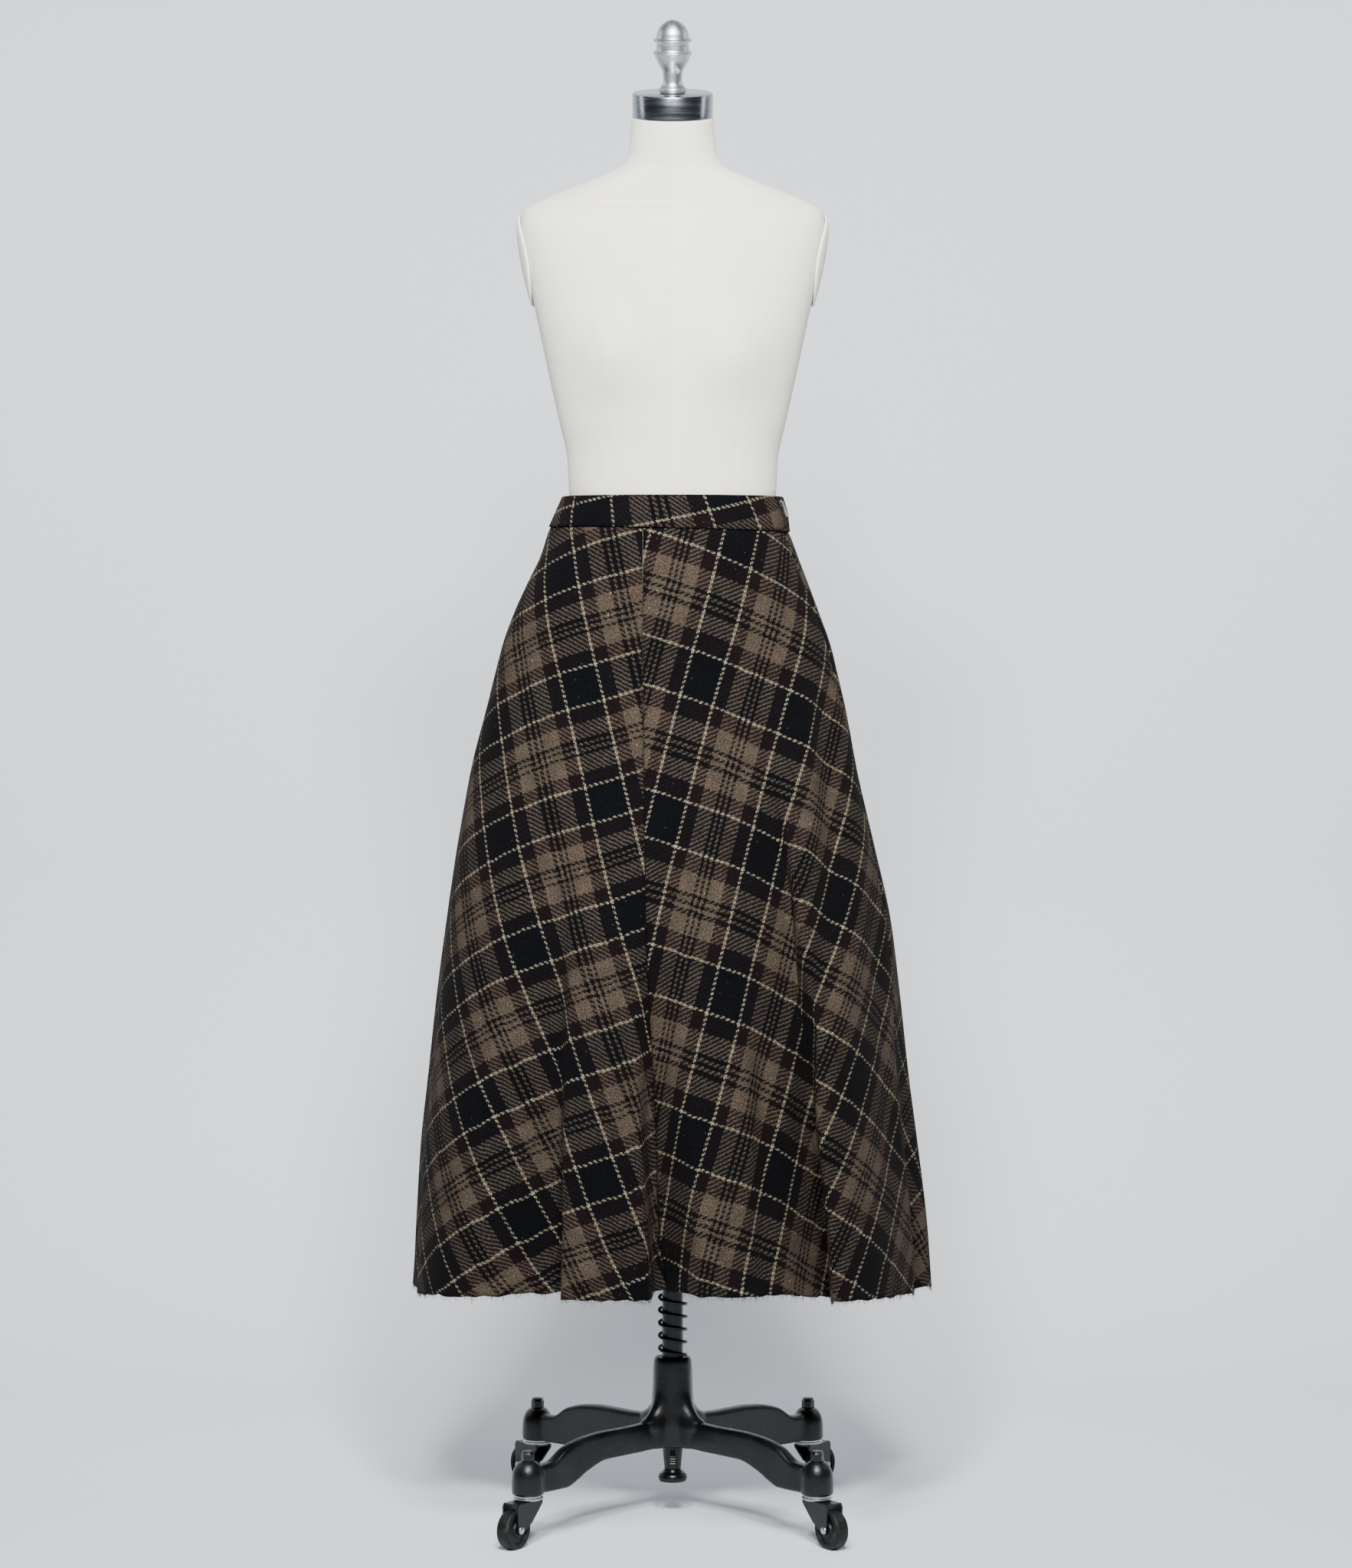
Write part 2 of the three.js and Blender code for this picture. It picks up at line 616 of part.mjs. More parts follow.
function spring() {
  const section = new THREE.Shape();
  for (let k = 0; k < SPRING.sides; k++) {
    const angle = (2 * Math.PI * (k + 0.5)) / SPRING.sides;
    const [x, y] = [SPRING.wire * Math.cos(angle), SPRING.wire * Math.sin(angle)];
    if (k === 0) section.moveTo(x, y);
    else section.lineTo(x, y);
  }
  const turns = (SPRING.top - SPRING.bottom) / SPRING.pitch;
  const geometry = new THREE.ExtrudeGeometry(section, {
    steps: Math.round(turns * SPRING.steps),
    extrudePath: new Helix(),
  });
  return mesh("spring", geometry, BLACK_ENAMEL);
}

function hubRing(row) {
  return Array.from({ length: HUB_SEGMENTS }, (_, k) => {
    const angle = (2 * Math.PI * k) / HUB_SEGMENTS;
    const lobe = ((1 - Math.cos(4 * angle)) / 2) ** 2;
    const r = row.core + row.lobe * lobe;
    return new THREE.Vector3(r * Math.cos(angle), r * Math.sin(angle), row.z);
  });
}

// One leg along +X, with chamfered upper edges.
function legGeometry() {
  const rings = LEG.map(({ r, top, bottom, wide }) => {
    const half = wide / 2;
    return [
      [half, bottom], [half, top - LEG_CHAMFER], [half - LEG_CHAMFER, top],
      [-half + LEG_CHAMFER, top], [-half, top - LEG_CHAMFER], [-half, bottom],
    ].map(([y, z]) => new THREE.Vector3(r, y, z));
  });
  return loft(rings);
}

// Hub, four legs and four caster sockets, cast in one piece and bored for the post and its rod.
function casting() {
  let body = solidOf(loft(HUB.map(hubRing)));
  const reach = CASTER_OUT * Math.SQRT2;
  for (let k = 0; k < 4; k++) {
    const angle = Math.PI / 4 + (k * Math.PI) / 2;
    const leg = solidOf(legGeometry().rotateZ(angle));
    const socket = turned(SOCKET, 14);
    socket.translate(reach * Math.cos(angle), reach * Math.sin(angle), 0);
    body = body.add(leg).add(solidOf(socket));
  }
  const bore = POST.r + RUNNING;
  const thin = ROD.r + RUNNING;
  const boreRows = table("r z", [
    [0, HUB_BOTTOM - 1], [thin, HUB_BOTTOM - 1], [thin, BORE_STEP_Z],
    [bore, BORE_STEP_Z], [bore, HUB_TOP + 1], [0, HUB_TOP + 1],
  ]);
  return mesh("base_casting", geometryOf(body.subtract(solidOf(turned(boreRows, 16)))), BLACK_ENAMEL);
}

function sleeve() {
  const thin = ROD.r + RUNNING;
  const top = HUB_BOTTOM - CLEAR;
  const rows = table("r z", [
    [thin, SLEEVE.bottom], [SLEEVE.low, SLEEVE.bottom], [SLEEVE.top - 0.6, top - 4], [SLEEVE.top, top],
    [thin, top],
  ]);
  const height = SLEEVE.slotTop - SLEEVE.slotBottom;
  const slot = new THREE.BoxGeometry(SLEEVE.slot, 2 * ROD.r, height);
  slot.translate(0, -thin - SLEEVE.slot / 2, SLEEVE.slotBottom + height / 2);
  return mesh(
    "rod_sleeve",
    geometryOf(solidOf(turned(rows, 16)).subtract(solidOf(slot))),
    BLACK_ENAMEL,
  );
}

// The outline of a fork's cheek, with its round eye at the axle.
function cheekShape() {
  const shape = new THREE.Shape();
  const { trail, back, top, skirt, eye } = FORK;
  shape.moveTo(-back, top);
  shape.lineTo(-back, top - skirt);
  shape.lineTo(FORK_HEEL.x, FORK_HEEL.z);
  const [cx, cz] = [trail, WHEEL.r];
  const steps = 6;
  for (let k = 0; k <= steps; k++) {
    const angle = Math.PI * 1.25 + (k / steps) * Math.PI * 0.8;
    shape.lineTo(cx + eye * Math.cos(angle), cz + eye * Math.sin(angle));
  }
  shape.lineTo(cx + eye + 0.6, top - skirt);
  shape.lineTo(cx + eye - 2, top);
  return shape;
}

function forkGeometry() {
  const { cheek, clear, plate, top, trail, back, eye } = FORK;
  const inside = WHEEL.wide / 2 + clear;
  const cheeks = [inside, -inside - cheek].map((y) => {
    const side = new THREE.ExtrudeGeometry(cheekShape(), { depth: cheek, bevelEnabled: false });
    // the outline's plane becomes XZ, and its thickness runs along Y
    side.rotateX(Math.PI / 2).translate(0, y + cheek, 0);
    return solidOf(side);
  });
  const long = trail + eye - 2 + back;
  const cover = new THREE.BoxGeometry(long, 2 * inside + cheek, plate);
  cover.translate(-back + long / 2, 0, top - plate / 2);
  const pin = new THREE.CylinderGeometry(AXLE.r + CLEAR, AXLE.r + CLEAR, 60, 12);
  pin.translate(trail, 0, WHEEL.r);
  return cheeks[0].add(cheeks[1]).add(solidOf(cover)).subtract(solidOf(pin));
}

// A wheel about the Y axis, with flat facets so that one rests on the floor.
function wheelGeometry() {
  const { r, wide, bore, segments } = WHEEL;
  const outer = r / Math.cos(Math.PI / segments);
  const half = wide / 2;
  const rows = table("r z", [
    [bore, -half], [8, -half], [16, -half + 2], [outer - 2.5, -half], [outer, -half + 3],
    [outer, half - 3], [outer - 2.5, half], [16, half - 2], [8, half], [bore, half],
  ]);
  return turned(rows, segments, Math.PI / segments).rotateX(Math.PI / 2);
}

function axleGeometry() {
  const half = WHEEL.wide / 2 + FORK.clear + FORK.cheek + CLEAR;
  const { r, head, headThick } = AXLE;
  const rows = table("r z", [
    [0, -half - headThick], [head - 1.2, -half - headThick], [head, -half], [r, -half],
    [r, half], [head, half], [head - 1.2, half + headThick], [0, half + headThick],
  ]);
  return turned(rows, 10).rotateX(Math.PI / 2);
}

function caster({ name, x, y, across, along }) {
  const swivel = new THREE.Group();
  swivel.position.set(x * CASTER_OUT, y * CASTER_OUT, 0);
  swivel.rotation.z = Math.atan2(along, across);
  swivel.add(mesh(`stem_nut_${name}`, turned(NUT, 6), BLACK_ENAMEL));
  swivel.add(mesh(`bearing_${name}`, turned(RACE, 14), STEEL));
  swivel.add(mesh(`fork_${name}`, geometryOf(forkGeometry()), BLACK_ENAMEL));
  const wheel = mesh(`wheel_${name}`, wheelGeometry(), BLACK_RUBBER);
  wheel.position.set(FORK.trail, 0, WHEEL.r);
  const axle = mesh(`axle_${name}`, axleGeometry(), STEEL);
  axle.position.copy(wheel.position);
  swivel.add(wheel, axle);
  return swivel;
}

// Zip slider and its pull tab, hanging on the side seam just under the waistband's top edge.
function zipPieces() {
  const share = 0.25;
  const level = ZIP.drop / (BAND_TOP_Z - WAIST_Z);
  const seat = bandPoint(level, share);
  const zip = new THREE.Group();
  zip.position.copy(seat);
  const down = bandPoint(level + 0.01, share).sub(seat).normalize();
  const wide = new THREE.Vector3().crossVectors(outward(bandPoint, level, share), down).normalize();
  const out = new THREE.Vector3().crossVectors(down, wide);
  zip.quaternion.setFromRotationMatrix(new THREE.Matrix4().makeBasis(wide, down.negate(), out));
  const body = new THREE.BoxGeometry(ZIP.wide, ZIP.tall, ZIP.thick);
  body.translate(0, 0, 2 * CLEAR + ZIP.thick / 2);
  zip.add(mesh("zip_slider", body, STEEL));
  const tab = new THREE.Shape();
  const half = ZIP.tabWide / 2;
  tab.moveTo(-half * 0.6, 0);
  tab.lineTo(-half, -ZIP.tabLong + half);
  tab.absarc(0, -ZIP.tabLong + half, half, Math.PI, 2 * Math.PI, false);
  tab.lineTo(half * 0.6, 0);
  const pull = new THREE.ExtrudeGeometry(tab, {
    depth: ZIP.tabThick,
    bevelEnabled: false,
    curveSegments: 6,
  });
  pull.translate(0, ZIP.tall / 2 - 2, 3 * CLEAR + ZIP.thick);
  zip.add(mesh("zip_pull", pull, STEEL));
  return zip;
}

const model = new THREE.Group();
model.name = "skirt_on_dress_form";
model.add(
  panel("panel_front_left", 0, 0.25),
  panel("panel_back_left", 0.25, 0.5),
  panel("panel_back_right", 0.5, 0.75),
  panel("panel_front_right", 0.75, 1),
  waistband("waistband_front", -0.25, 0.25),
  waistband("waistband_back", 0.25, 0.75),
  zipPieces(),
  torso(),
  armPlate("arm_plate_left", 1),
  armPlate("arm_plate_right", -1),
  headPieces(),
  ...postPieces(),
  spring(),
  casting(),
  sleeve(),
  ...CASTERS.map(caster),
);

export default model;
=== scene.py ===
"""A flared wool skirt in four panels, on a dress form with a rolling stand.

Lengths in the tables are millimetres, in the frame's axes. Meshes are made in metres.
The wearer faces -Y, and left and right in the panels' names are the wearer's.
"""

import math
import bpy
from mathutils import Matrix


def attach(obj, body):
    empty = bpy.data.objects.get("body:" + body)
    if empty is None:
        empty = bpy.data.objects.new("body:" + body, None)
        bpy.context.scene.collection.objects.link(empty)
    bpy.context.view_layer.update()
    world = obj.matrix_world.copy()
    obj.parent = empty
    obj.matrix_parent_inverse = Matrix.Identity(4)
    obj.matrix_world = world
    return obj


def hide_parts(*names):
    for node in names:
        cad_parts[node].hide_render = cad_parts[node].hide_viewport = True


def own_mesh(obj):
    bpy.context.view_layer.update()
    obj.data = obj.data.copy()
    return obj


bl_info = {
    "name": "Flared check skirt on a dress form",
    "version": (1, 0, 0),
    "blender": (4, 5, 0),
    "location": "View3D > Sidebar > Skirt",
    "description": "Builds a wool skirt, its dress form, the stand and a plain studio",
    "category": "Object",
}

import bmesh
import bpy
import numpy as np
from bpy.props import FloatProperty, FloatVectorProperty, IntProperty, PointerProperty
from mathutils import Matrix, Vector

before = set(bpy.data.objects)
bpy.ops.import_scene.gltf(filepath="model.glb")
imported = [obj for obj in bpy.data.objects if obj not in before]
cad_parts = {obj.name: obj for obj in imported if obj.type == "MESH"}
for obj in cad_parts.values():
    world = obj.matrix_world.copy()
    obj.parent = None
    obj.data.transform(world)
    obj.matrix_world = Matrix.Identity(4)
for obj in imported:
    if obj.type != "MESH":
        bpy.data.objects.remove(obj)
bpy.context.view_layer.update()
MM = 0.001


def table(columns, rows):
    """Rows of numbers as dicts with named columns."""
    names = columns.split()
    return [dict(zip(names, row)) for row in rows]


# Cloth, as cut and as it hangs
CLOTH = 1.8
BAND_CLOTH = 4.0
SEAM_GAP = 0.3
SEAM_WIDE = 3.2
WAIST_Z = 1176.0
WAIST_TILT = -0.022
BAND_TOP_Z = 1214.5
HEM_Z = 274.0
HEM_RISE = 24.0
SKIRT_POWER = 2.2
FLUTE_GROWTH = 1.25
CUT_RADIUS = 492.0
CUT_LENGTH = 916.0
CUT_FAN = 87.0
WAIST_GIRTH = 745.0
GIRTH_GROWTH = 1400.0
BAND_GIRTH = 760.0
RING_POINTS = 1080
PANEL_COLUMNS = 132
PANEL_ROWS = 190
BAND_COLUMNS = 190

SKIRT = table("z left right front back seam", [
    (1176, 145.5, 138.0, 96, 91, -34.8),
    (1141, 157.0, 150.6, 101.5, 100, -34.9),
    (1114, 170.2, 161.0, 104, 106, -35.0),
    (1077, 187.5, 174.7, 106, 113, -35.0),
    (1041, 201.0, 187.5, 107.5, 118, -34.8),
    (1004, 211.0, 196.6, 110, 123, -34.6),
    (968, 220.0, 204.8, 115, 129, -34.3),
    (895, 239.0, 218.4, 131, 143, -33.5),
    (804, 256.6, 239.3, 155, 165, -32.2),
    (713, 270.0, 259.4, 177, 187, -30.0),
    (622, 282.0, 271.0, 195, 205, -26.3),
    (531, 292.0, 281.0, 208, 218, -22.2),
    (440, 302.0, 293.0, 218, 227, -19.0),
    (349, 307.6, 304.0, 226, 234, -17.2),
    (274, 312.0, 309.4, 230, 238, -16.5),
])
BAND = table("z left right front back seam", [
    (1176, 146.8, 139.2, 97, 92, -34.8),
    (1195, 138.6, 136.4, 93.4, 87, -34.4),
    (1214.5, 131.0, 131.0, 89, 81, -34.0),
])
# The flutes at the hem. turn is in degrees from the front, positive to the wearer's left.
FLUTES = table("turn lean out sway before after start", [
    (-84, 0, -12, 0, 12, 14, 766),
    (-51, 0, 12, 0, 26, 17, 886),
    (-27, -1, -48, 16, 19, 7.5, 866),
    (-16, -1, 6, -14, 8, 9, 846),
    (1.2, -4, -58, -20, 5, 5, 806),
    (9.5, 0, 5, 0, 8, 8, 786),
    (32.5, -5, -56, 40, 17, 6.5, 1006),
    (42.5, -5, 34, -50, 10, 24, 1006),
    (79, 0, -28, 0, 13, 10, 686),
    (91, 0, 4, 0, 8, 8, 706),
    (105, 2, -40, 0, 12, 12, 846),
    (121, 0, 14, 5, 14, 14, 906),
    (138, -2, -42, 0, 12, 12, 826),
    (154, 0, 10, -4, 13, 13, 886),
    (170, 0, -38, 3, 11, 12, 806),
    (186, 0, 10, 0, 13, 13, 886),
    (203, 0, -40, -4, 12, 12, 826),
    (221, 2, 14, 6, 13, 16, 906),
    (241, 0, -38, 0, 13, 13, 846),
])
# Soft creases: where, from and to which level, how deep and how wide.
CREASES = table("share drift first last depth wide", [
    (0.060, 0.010, 0.05, 0.30, -1.6, 16),
    (0.145, 0.012, 0.03, 0.36, -2.2, 20),
    (0.205, -0.010, 0.10, 0.42, 1.8, 18),
    (0.098, 0.014, 0.30, 0.72, 2.2, 24),
    (0.030, 0.006, 0.46, 0.86, -1.8, 18),
    (0.225, -0.006, 0.42, 0.90, -2.4, 20),
    (-0.065, -0.012, 0.04, 0.30, -1.7, 18),
    (-0.150, -0.010, 0.05, 0.40, -2.4, 20),
    (-0.110, -0.012, 0.34, 0.74, 2.0, 24),
    (-0.040, 0.004, 0.50, 0.84, 1.8, 18),
    (-0.215, 0.006, 0.30, 0.82, -2.2, 22),
    (0.310, 0.012, 0.04, 0.34, -2.0, 18),
    (0.385, -0.008, 0.08, 0.44, 1.9, 20),
    (0.455, 0.006, 0.05, 0.32, -1.8, 18),
    (0.540, -0.008, 0.04, 0.36, -2.1, 18),
    (0.610, 0.010, 0.10, 0.46, 1.9, 20),
    (0.690, -0.010, 0.05, 0.34, -2.0, 18),
    (0.420, 0.010, 0.44, 0.80, -2.2, 22),
    (0.575, -0.008, 0.42, 0.82, 2.2, 22),
    (0.190, -0.154, 0.15, 0.86, 4.5, 16),
    (0.219, -0.154, 0.17, 0.82, -8.0, 20),
    (0.250, -0.154, 0.20, 0.76, 2.5, 22),
    (0.084, -0.045, 0.62, 1.20, -6.0, 15),
    (0.068, -0.036, 0.62, 1.20, 2.5, 13),
])

# Where the hem hangs lower than its solid, in shares round and millimetres
HEM_DIPS = table("share wide drop", [(-0.045, 0.032, 5.0), (0.118, 0.030, 7.0)])

# How each piece is laid on the check. steep and flat are its two sets of lines, in the flat pattern.
LAYS = table(
    "name first last middle steep_lean steep_period steep_start flat_drop flat_period flat_start",
    [
        ("front_left", 0.0, 0.25, 0.0, 14, 118.0, 208.7, 15, 180.3, 600.0),
        ("back_left", 0.25, 0.5, 0.5, 12, 139.0, 189.0, 14, 140.5, 480.6),
        ("back_right", 0.5, 0.75, 0.5, 14, 118.0, 208.7, 15, 180.3, 600.0),
        ("front_right", 0.75, 1.0, 1.0, 12, 139.0, 189.0, 14, 140.5, 480.6),
    ],
)
BAND_LAY = {
    "steep_lean": 12, "steep_period": 172.0, "steep_start": -89.0,
    "flat_drop": 12, "flat_period": 134.0, "flat_start": 3.0,
}
NAVY_SHARE = 0.32
NAVY_LINES = (0.09, 0.152, 0.214)
YARN = 1.6

# Dress form
FORM = table("z half front back power", [
    (911, 170, 96, 112, 2.1),
    (968, 175, 101, 118, 2.1),
    (1041, 169.5, 102.3, 113, 2.1),
    (1114, 152.5, 100, 101, 2.1),
    (1141, 144, 98, 95.4, 2.1),
    (1176, 133.2, 92.3, 86.6, 2.1),
    (1214, 122.8, 84.2, 75.8, 2.15),
    (1259, 125.0, 86, 77, 2.2),
    (1305, 134.7, 90, 84, 2.3),
    (1350, 144.7, 94, 94, 2.3),
    (1396, 154.5, 94.5, 101, 2.35),
    (1441, 164.0, 88, 104, 2.5),
    (1487, 173.5, 78, 102, 2.7),
    (1510, 177.5, 73, 98, 2.8),
    (1531, 180.0, 68, 92, 2.8),
    (1549, 178.0, 62, 84, 2.6),
    (1561, 162.0, 57, 75, 2.3),
    (1577, 124.0, 53, 65, 2.1),
    (1593, 84.0, 50.5, 58.5, 2.0),
    (1604, 61.0, 50, 55, 2.0),
    (1616, 53.5, 50, 52, 2.0),
    (1636, 50.2, 51.5, 48.5, 2.0),
    (1662, 48.3, 54, 42.6, 2.0),
])
BUST = {"x": 74, "z": 1378, "out": 21, "wide": 44, "tall": 46}
NECK_Z = 1606.0
NECK_TOP_Z = 1662.0
HEAD_TILT = math.radians(14)
ARM_PLATE = {"y": 8, "z": 1494, "deep": 40, "tall": 54, "thick": 4.5, "edge": 2.5}
CAP = {"radius": 47.7, "height": 28.0, "y": -5.7}
FINIAL = [
    (0, 0), (13.5, 0), (15.7, 2), (15.9, 5), (12.4, 9), (11.2, 13.4), (11.5, 19.3), (12.4, 25),
    (15.7, 31.2), (18.9, 37.2), (21.3, 43.1), (22.9, 46.9), (20, 49), (19.4, 53), (19.6, 57.5),
    (23, 61.2), (20, 63.4), (19.2, 66), (18.4, 70.5), (15.5, 75.9), (11.2, 80.3), (5.5, 83.8), (0, 85),
]
KNOB_SCREW = {"r": 3.6, "stem": 1.8, "x": 5.6, "y": -14.6, "z": 27.5}

# Stand
CLEAR = 0.3
RUNNING = 0.6
POST = {"r": 12.5, "bottom": 134.0, "top": 898.7}
TOP_FLANGE = {"r": 46, "hub": 20, "bottom": 899, "shelf": 903, "top": 910.7}
SPRING = {"r": 16.0, "wire": 2.0, "bottom": 190.3, "top": 372.0, "pitch": 15.2}
COLLAR = {"r": 21, "top": 390}
HUB_SIDES = 128
HUB_TOP = 190.0
HUB_BOTTOM = 84.0
BORE_STEP_Z = 99.0
HUB = table("z core lobe", [
    (84, 23, 16),
    (88, 27, 17),
    (104, 27.5, 20),
    (110, 27.5, 26),
    (117, 27, 24),
    (121, 26.6, 17),
    (125, 26, 12.5),
    (136, 25.2, 5),
    (151, 24.2, 1),
    (186, 22.7, 0),
    (190, 20.6, 0),
])
ROD = {"r": 8.0}
FOOT = [(0, 55.2), (9.6, 55.2), (11.6, 52.4), (15.4, 50), (17.2, 46), (16.6, 42.4), (14, 40.4), (0, 40.4)]
CASTER_OUT = 167.0
LEG = table("r top bottom wide", [
    (16, 118, 85, 15),
    (52, 116.5, 84, 16),
    (76, 115.5, 83.6, 16),
    (116, 115.6, 82.8, 16),
    (146, 113.4, 74, 16),
    (164, 110, 65, 16),
    (180, 105, 59, 16.5),
    (204, 91.5, 58.6, 18),
    (236, 90, 59, 18),
])
SOCKET = [(0, 58.6), (17.2, 58.6), (18.8, 61), (18.6, 78), (17, 87), (13, 94), (8, 97.4), (0, 97.4)]
NUT = [(0, 97.7), (8, 97.7), (8, 106), (6.6, 107.4), (6.6, 109.4), (0, 109.8)]
RACE = [(0, 52.9), (15.6, 52.9), (17.6, 54.4), (17.6, 55.8), (16, 56.6), (16, 58.3), (0, 58.3)]
WHEEL = {"r": 22.7, "wide": 16.6, "bore": 3.6}
FORK = {"trail": 27.0, "cheek": 2.4, "clear": 0.8}
AXLE = {"r": 3.0, "head": 4.4, "thick": 1.6}
CASTERS = table("name x y across along", [
    ("front_left", -1, -1, -0.59, -0.81),
    ("front_right", 1, -1, 0.59, -0.81),
    ("rear_left", -1, 1, -0.59, 0.81),
    ("rear_right", 1, 1, 0.59, 0.81),
])

# Camera, as the photograph was taken
CAMERA_PLACE = (0.004, -4.920, 1.050)
CAMERA_PITCH = math.radians(2.05)
CAMERA_LENS = 95.1


def curve_of(rows, across, up):
    """A smooth curve through one column of a table against another, with no overshoot."""
    ordered = sorted(rows, key=lambda row: row[across])
    x = np.array([row[across] for row in ordered], float)
    y = np.array([row[up] for row in ordered], float)
    slope = np.diff(y) / np.diff(x)
    before, after = slope[:-1], slope[1:]
    both = before * after
    safe = np.where(both > 0, before + after, 1.0)
    bend = np.concatenate([slope[:1], np.where(both > 0, 2 * both / safe, 0.0), slope[-1:]])

    def at(value):
        v = np.clip(value, x[0], x[-1])
        i = np.clip(np.searchsorted(x, v) - 1, 0, len(x) - 2)
        step = x[i + 1] - x[i]
        s = (v - x[i]) / step
        start = y[i] * (2 * s**3 - 3 * s**2 + 1) + step * bend[i] * (s**3 - 2 * s**2 + s)
        return start + y[i + 1] * (3 * s**2 - 2 * s**3) + step * bend[i + 1] * (s**3 - s**2)

    return at


def curves_of(rows, across):
    """One smooth curve for each other column of a table."""
    return {name: curve_of(rows, across, name) for name in rows[0] if name != across}


def powered(value, power):
    return np.sign(value) * np.abs(value) ** (2 / power)


def smoothed(value, low=0.0, high=1.0):
    s = np.clip((value - low) / (high - low), 0, 1)
    return s * s * (3 - 2 * s)


def srgb(red, green, blue):
    """A colour given from 0 to 255, as Blender's linear colour."""
    shares = [c / 255 for c in (red, green, blue)]
    return tuple(c / 12.92 if c <= 0.04045 else ((c + 0.055) / 1.055) ** 2.4 for c in shares)


def moved(x, y, z):
    """A matrix that moves by millimetres."""
    return Matrix.Translation(Vector((x, y, z)) * MM)


def circle(count):
    """Angles evenly round a circle."""
    return 2 * np.pi * np.arange(count) / count


# Meshes

def mesh_object(name, points, faces, uvs=None):
    """A smooth-shaded object from points in millimetres. uvs maps a layer's name to loop values."""
    mesh = bpy.data.meshes.new(name)
    mesh.from_pydata((np.asarray(points, float) * MM).tolist(), [], [tuple(f) for f in faces])
    for layer, values in (uvs or {}).items():
        made = mesh.uv_layers.new(name=layer)
        made.data.foreach_set("uv", np.asarray(values, np.float32).ravel())
    mesh.polygons.foreach_set("use_smooth", [True] * len(mesh.polygons))
    mesh.update()
    made = bpy.data.objects.new(name, mesh)
    bpy.context.scene.collection.objects.link(made)
    return made


def grid_object(name, grid, uvs=None, wrap=False):
    """A sheet of quads over a grid of points. Its faces look out where rows go down and columns go
    to the wearer's left. A uv grid has one more column than a wrapped grid of points."""
    rows, columns = grid.shape[:2]
    across = columns if wrap else columns - 1
    i, j = np.meshgrid(np.arange(rows - 1), np.arange(across), indexing="ij")
    corners = [(i, j), (i + 1, j), (i + 1, j + 1), (i, j + 1)]
    faces = np.stack([a * columns + b % columns for a, b in corners], -1).reshape(-1, 4)
    layers = {
        layer: np.stack([values[a, b] for a, b in corners], -2).reshape(-1, 2)
        for layer, values in (uvs or {}).items()
    }
    return mesh_object(name, grid.reshape(-1, 3), faces.tolist(), layers)


def turned_points(profile, segments):
    """Rings of points about +Z from pairs of radius and height."""
    angle = np.linspace(0, 2 * np.pi, segments, endpoint=False)
    rz = np.asarray(profile, float)
    ring = np.stack([np.cos(angle), np.sin(angle)], -1)
    flat = rz[:, None, :1] * ring[None]
    return np.concatenate([flat, np.broadcast_to(rz[:, None, 1:], flat.shape[:2] + (1,))], -1)


def close(made):
    """Joins points that coincide, drops faces with no area and turns faces outward."""
    work = bmesh.new()
    work.from_mesh(made.data)
    bmesh.ops.remove_doubles(work, verts=work.verts, dist=1e-6)
    bmesh.ops.dissolve_degenerate(work, edges=work.edges, dist=1e-7)
    bmesh.ops.recalc_face_normals(work, faces=work.faces)
    work.to_mesh(made.data)
    work.free()
    return made


def turned(name, profile, segments=64, matrix=None, crisp=32):
    """A closed turned piece about +Z. A profile whose ends stand off the axis is a ring."""
    ends = list(profile)
    if ends[0][0] > 0 or ends[-1][0] > 0:
        ends.append(ends[0])
    made = close(grid_object(name, turned_points(ends, segments), wrap=True))
    if matrix is not None:
        made.data.transform(matrix)
    made.data.set_sharp_from_angle(angle=math.radians(crisp))
    return made


def rounded(profile, steps=5):
    """A profile's points joined by a smooth curve through them, sharp only at its ends."""
    rz = np.asarray(profile, float)
    padded = np.vstack([rz[:1], rz, rz[-1:]])
    made = []
    for i in range(1, len(padded) - 2):
        a, b, c, d = padded[i - 1 : i + 3]
        for s in np.arange(steps) / steps:
            bend = (2 * a - 5 * b + 4 * c - d) * s**2 + (3 * b - a - 3 * c + d) * s**3
            made.append(0.5 * (2 * b + (c - a) * s + bend))
    made.append(rz[-1])
    out = np.array(made)
    out[:, 0] = np.maximum(out[:, 0], 0)
    return out.tolist()


def bevel(made, width, segments=2, angle=28):
    """Rounds a piece's sharp edges."""
    edge = made.modifiers.new("Edges", "BEVEL")
    edge.width = width * MM
    edge.segments = segments
    edge.limit_method = "ANGLE"
    edge.angle_limit = math.radians(angle)
    edge.harden_normals = False
    return made


def joined(name, parts):
    """Several objects as one."""
    bpy.ops.object.select_all(action="DESELECT")
    for part in parts:
        part.select_set(True)
    bpy.context.view_layer.objects.active = parts[0]
    bpy.ops.object.join()
    parts[0].name = name
    parts[0].data.name = name
    return parts[0]


def applied(made):
    """Makes a piece's modifiers part of its mesh."""
    graph = bpy.context.evaluated_depsgraph_get()
    mesh = bpy.data.meshes.new_from_object(made.evaluated_get(graph))
    made.modifiers.clear()
    made.data = mesh
    return made


def finished(made, material, body, replaced=()):
    """Gives a piece its material, puts it on its body and hides the solids it replaces."""
    made.data.materials.clear()
    made.data.materials.append(material)
    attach(made, body)
    if replaced:
        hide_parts(*replaced)
    return made


def dressed(name, material, edge=0.0):
    """Gives a solid of the frame its material. edge rounds its corners, in millimetres."""
    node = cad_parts[name]
    node.data.materials.clear()
    node.data.materials.append(material)
    if edge:
        bevel(node, edge)


# Materials

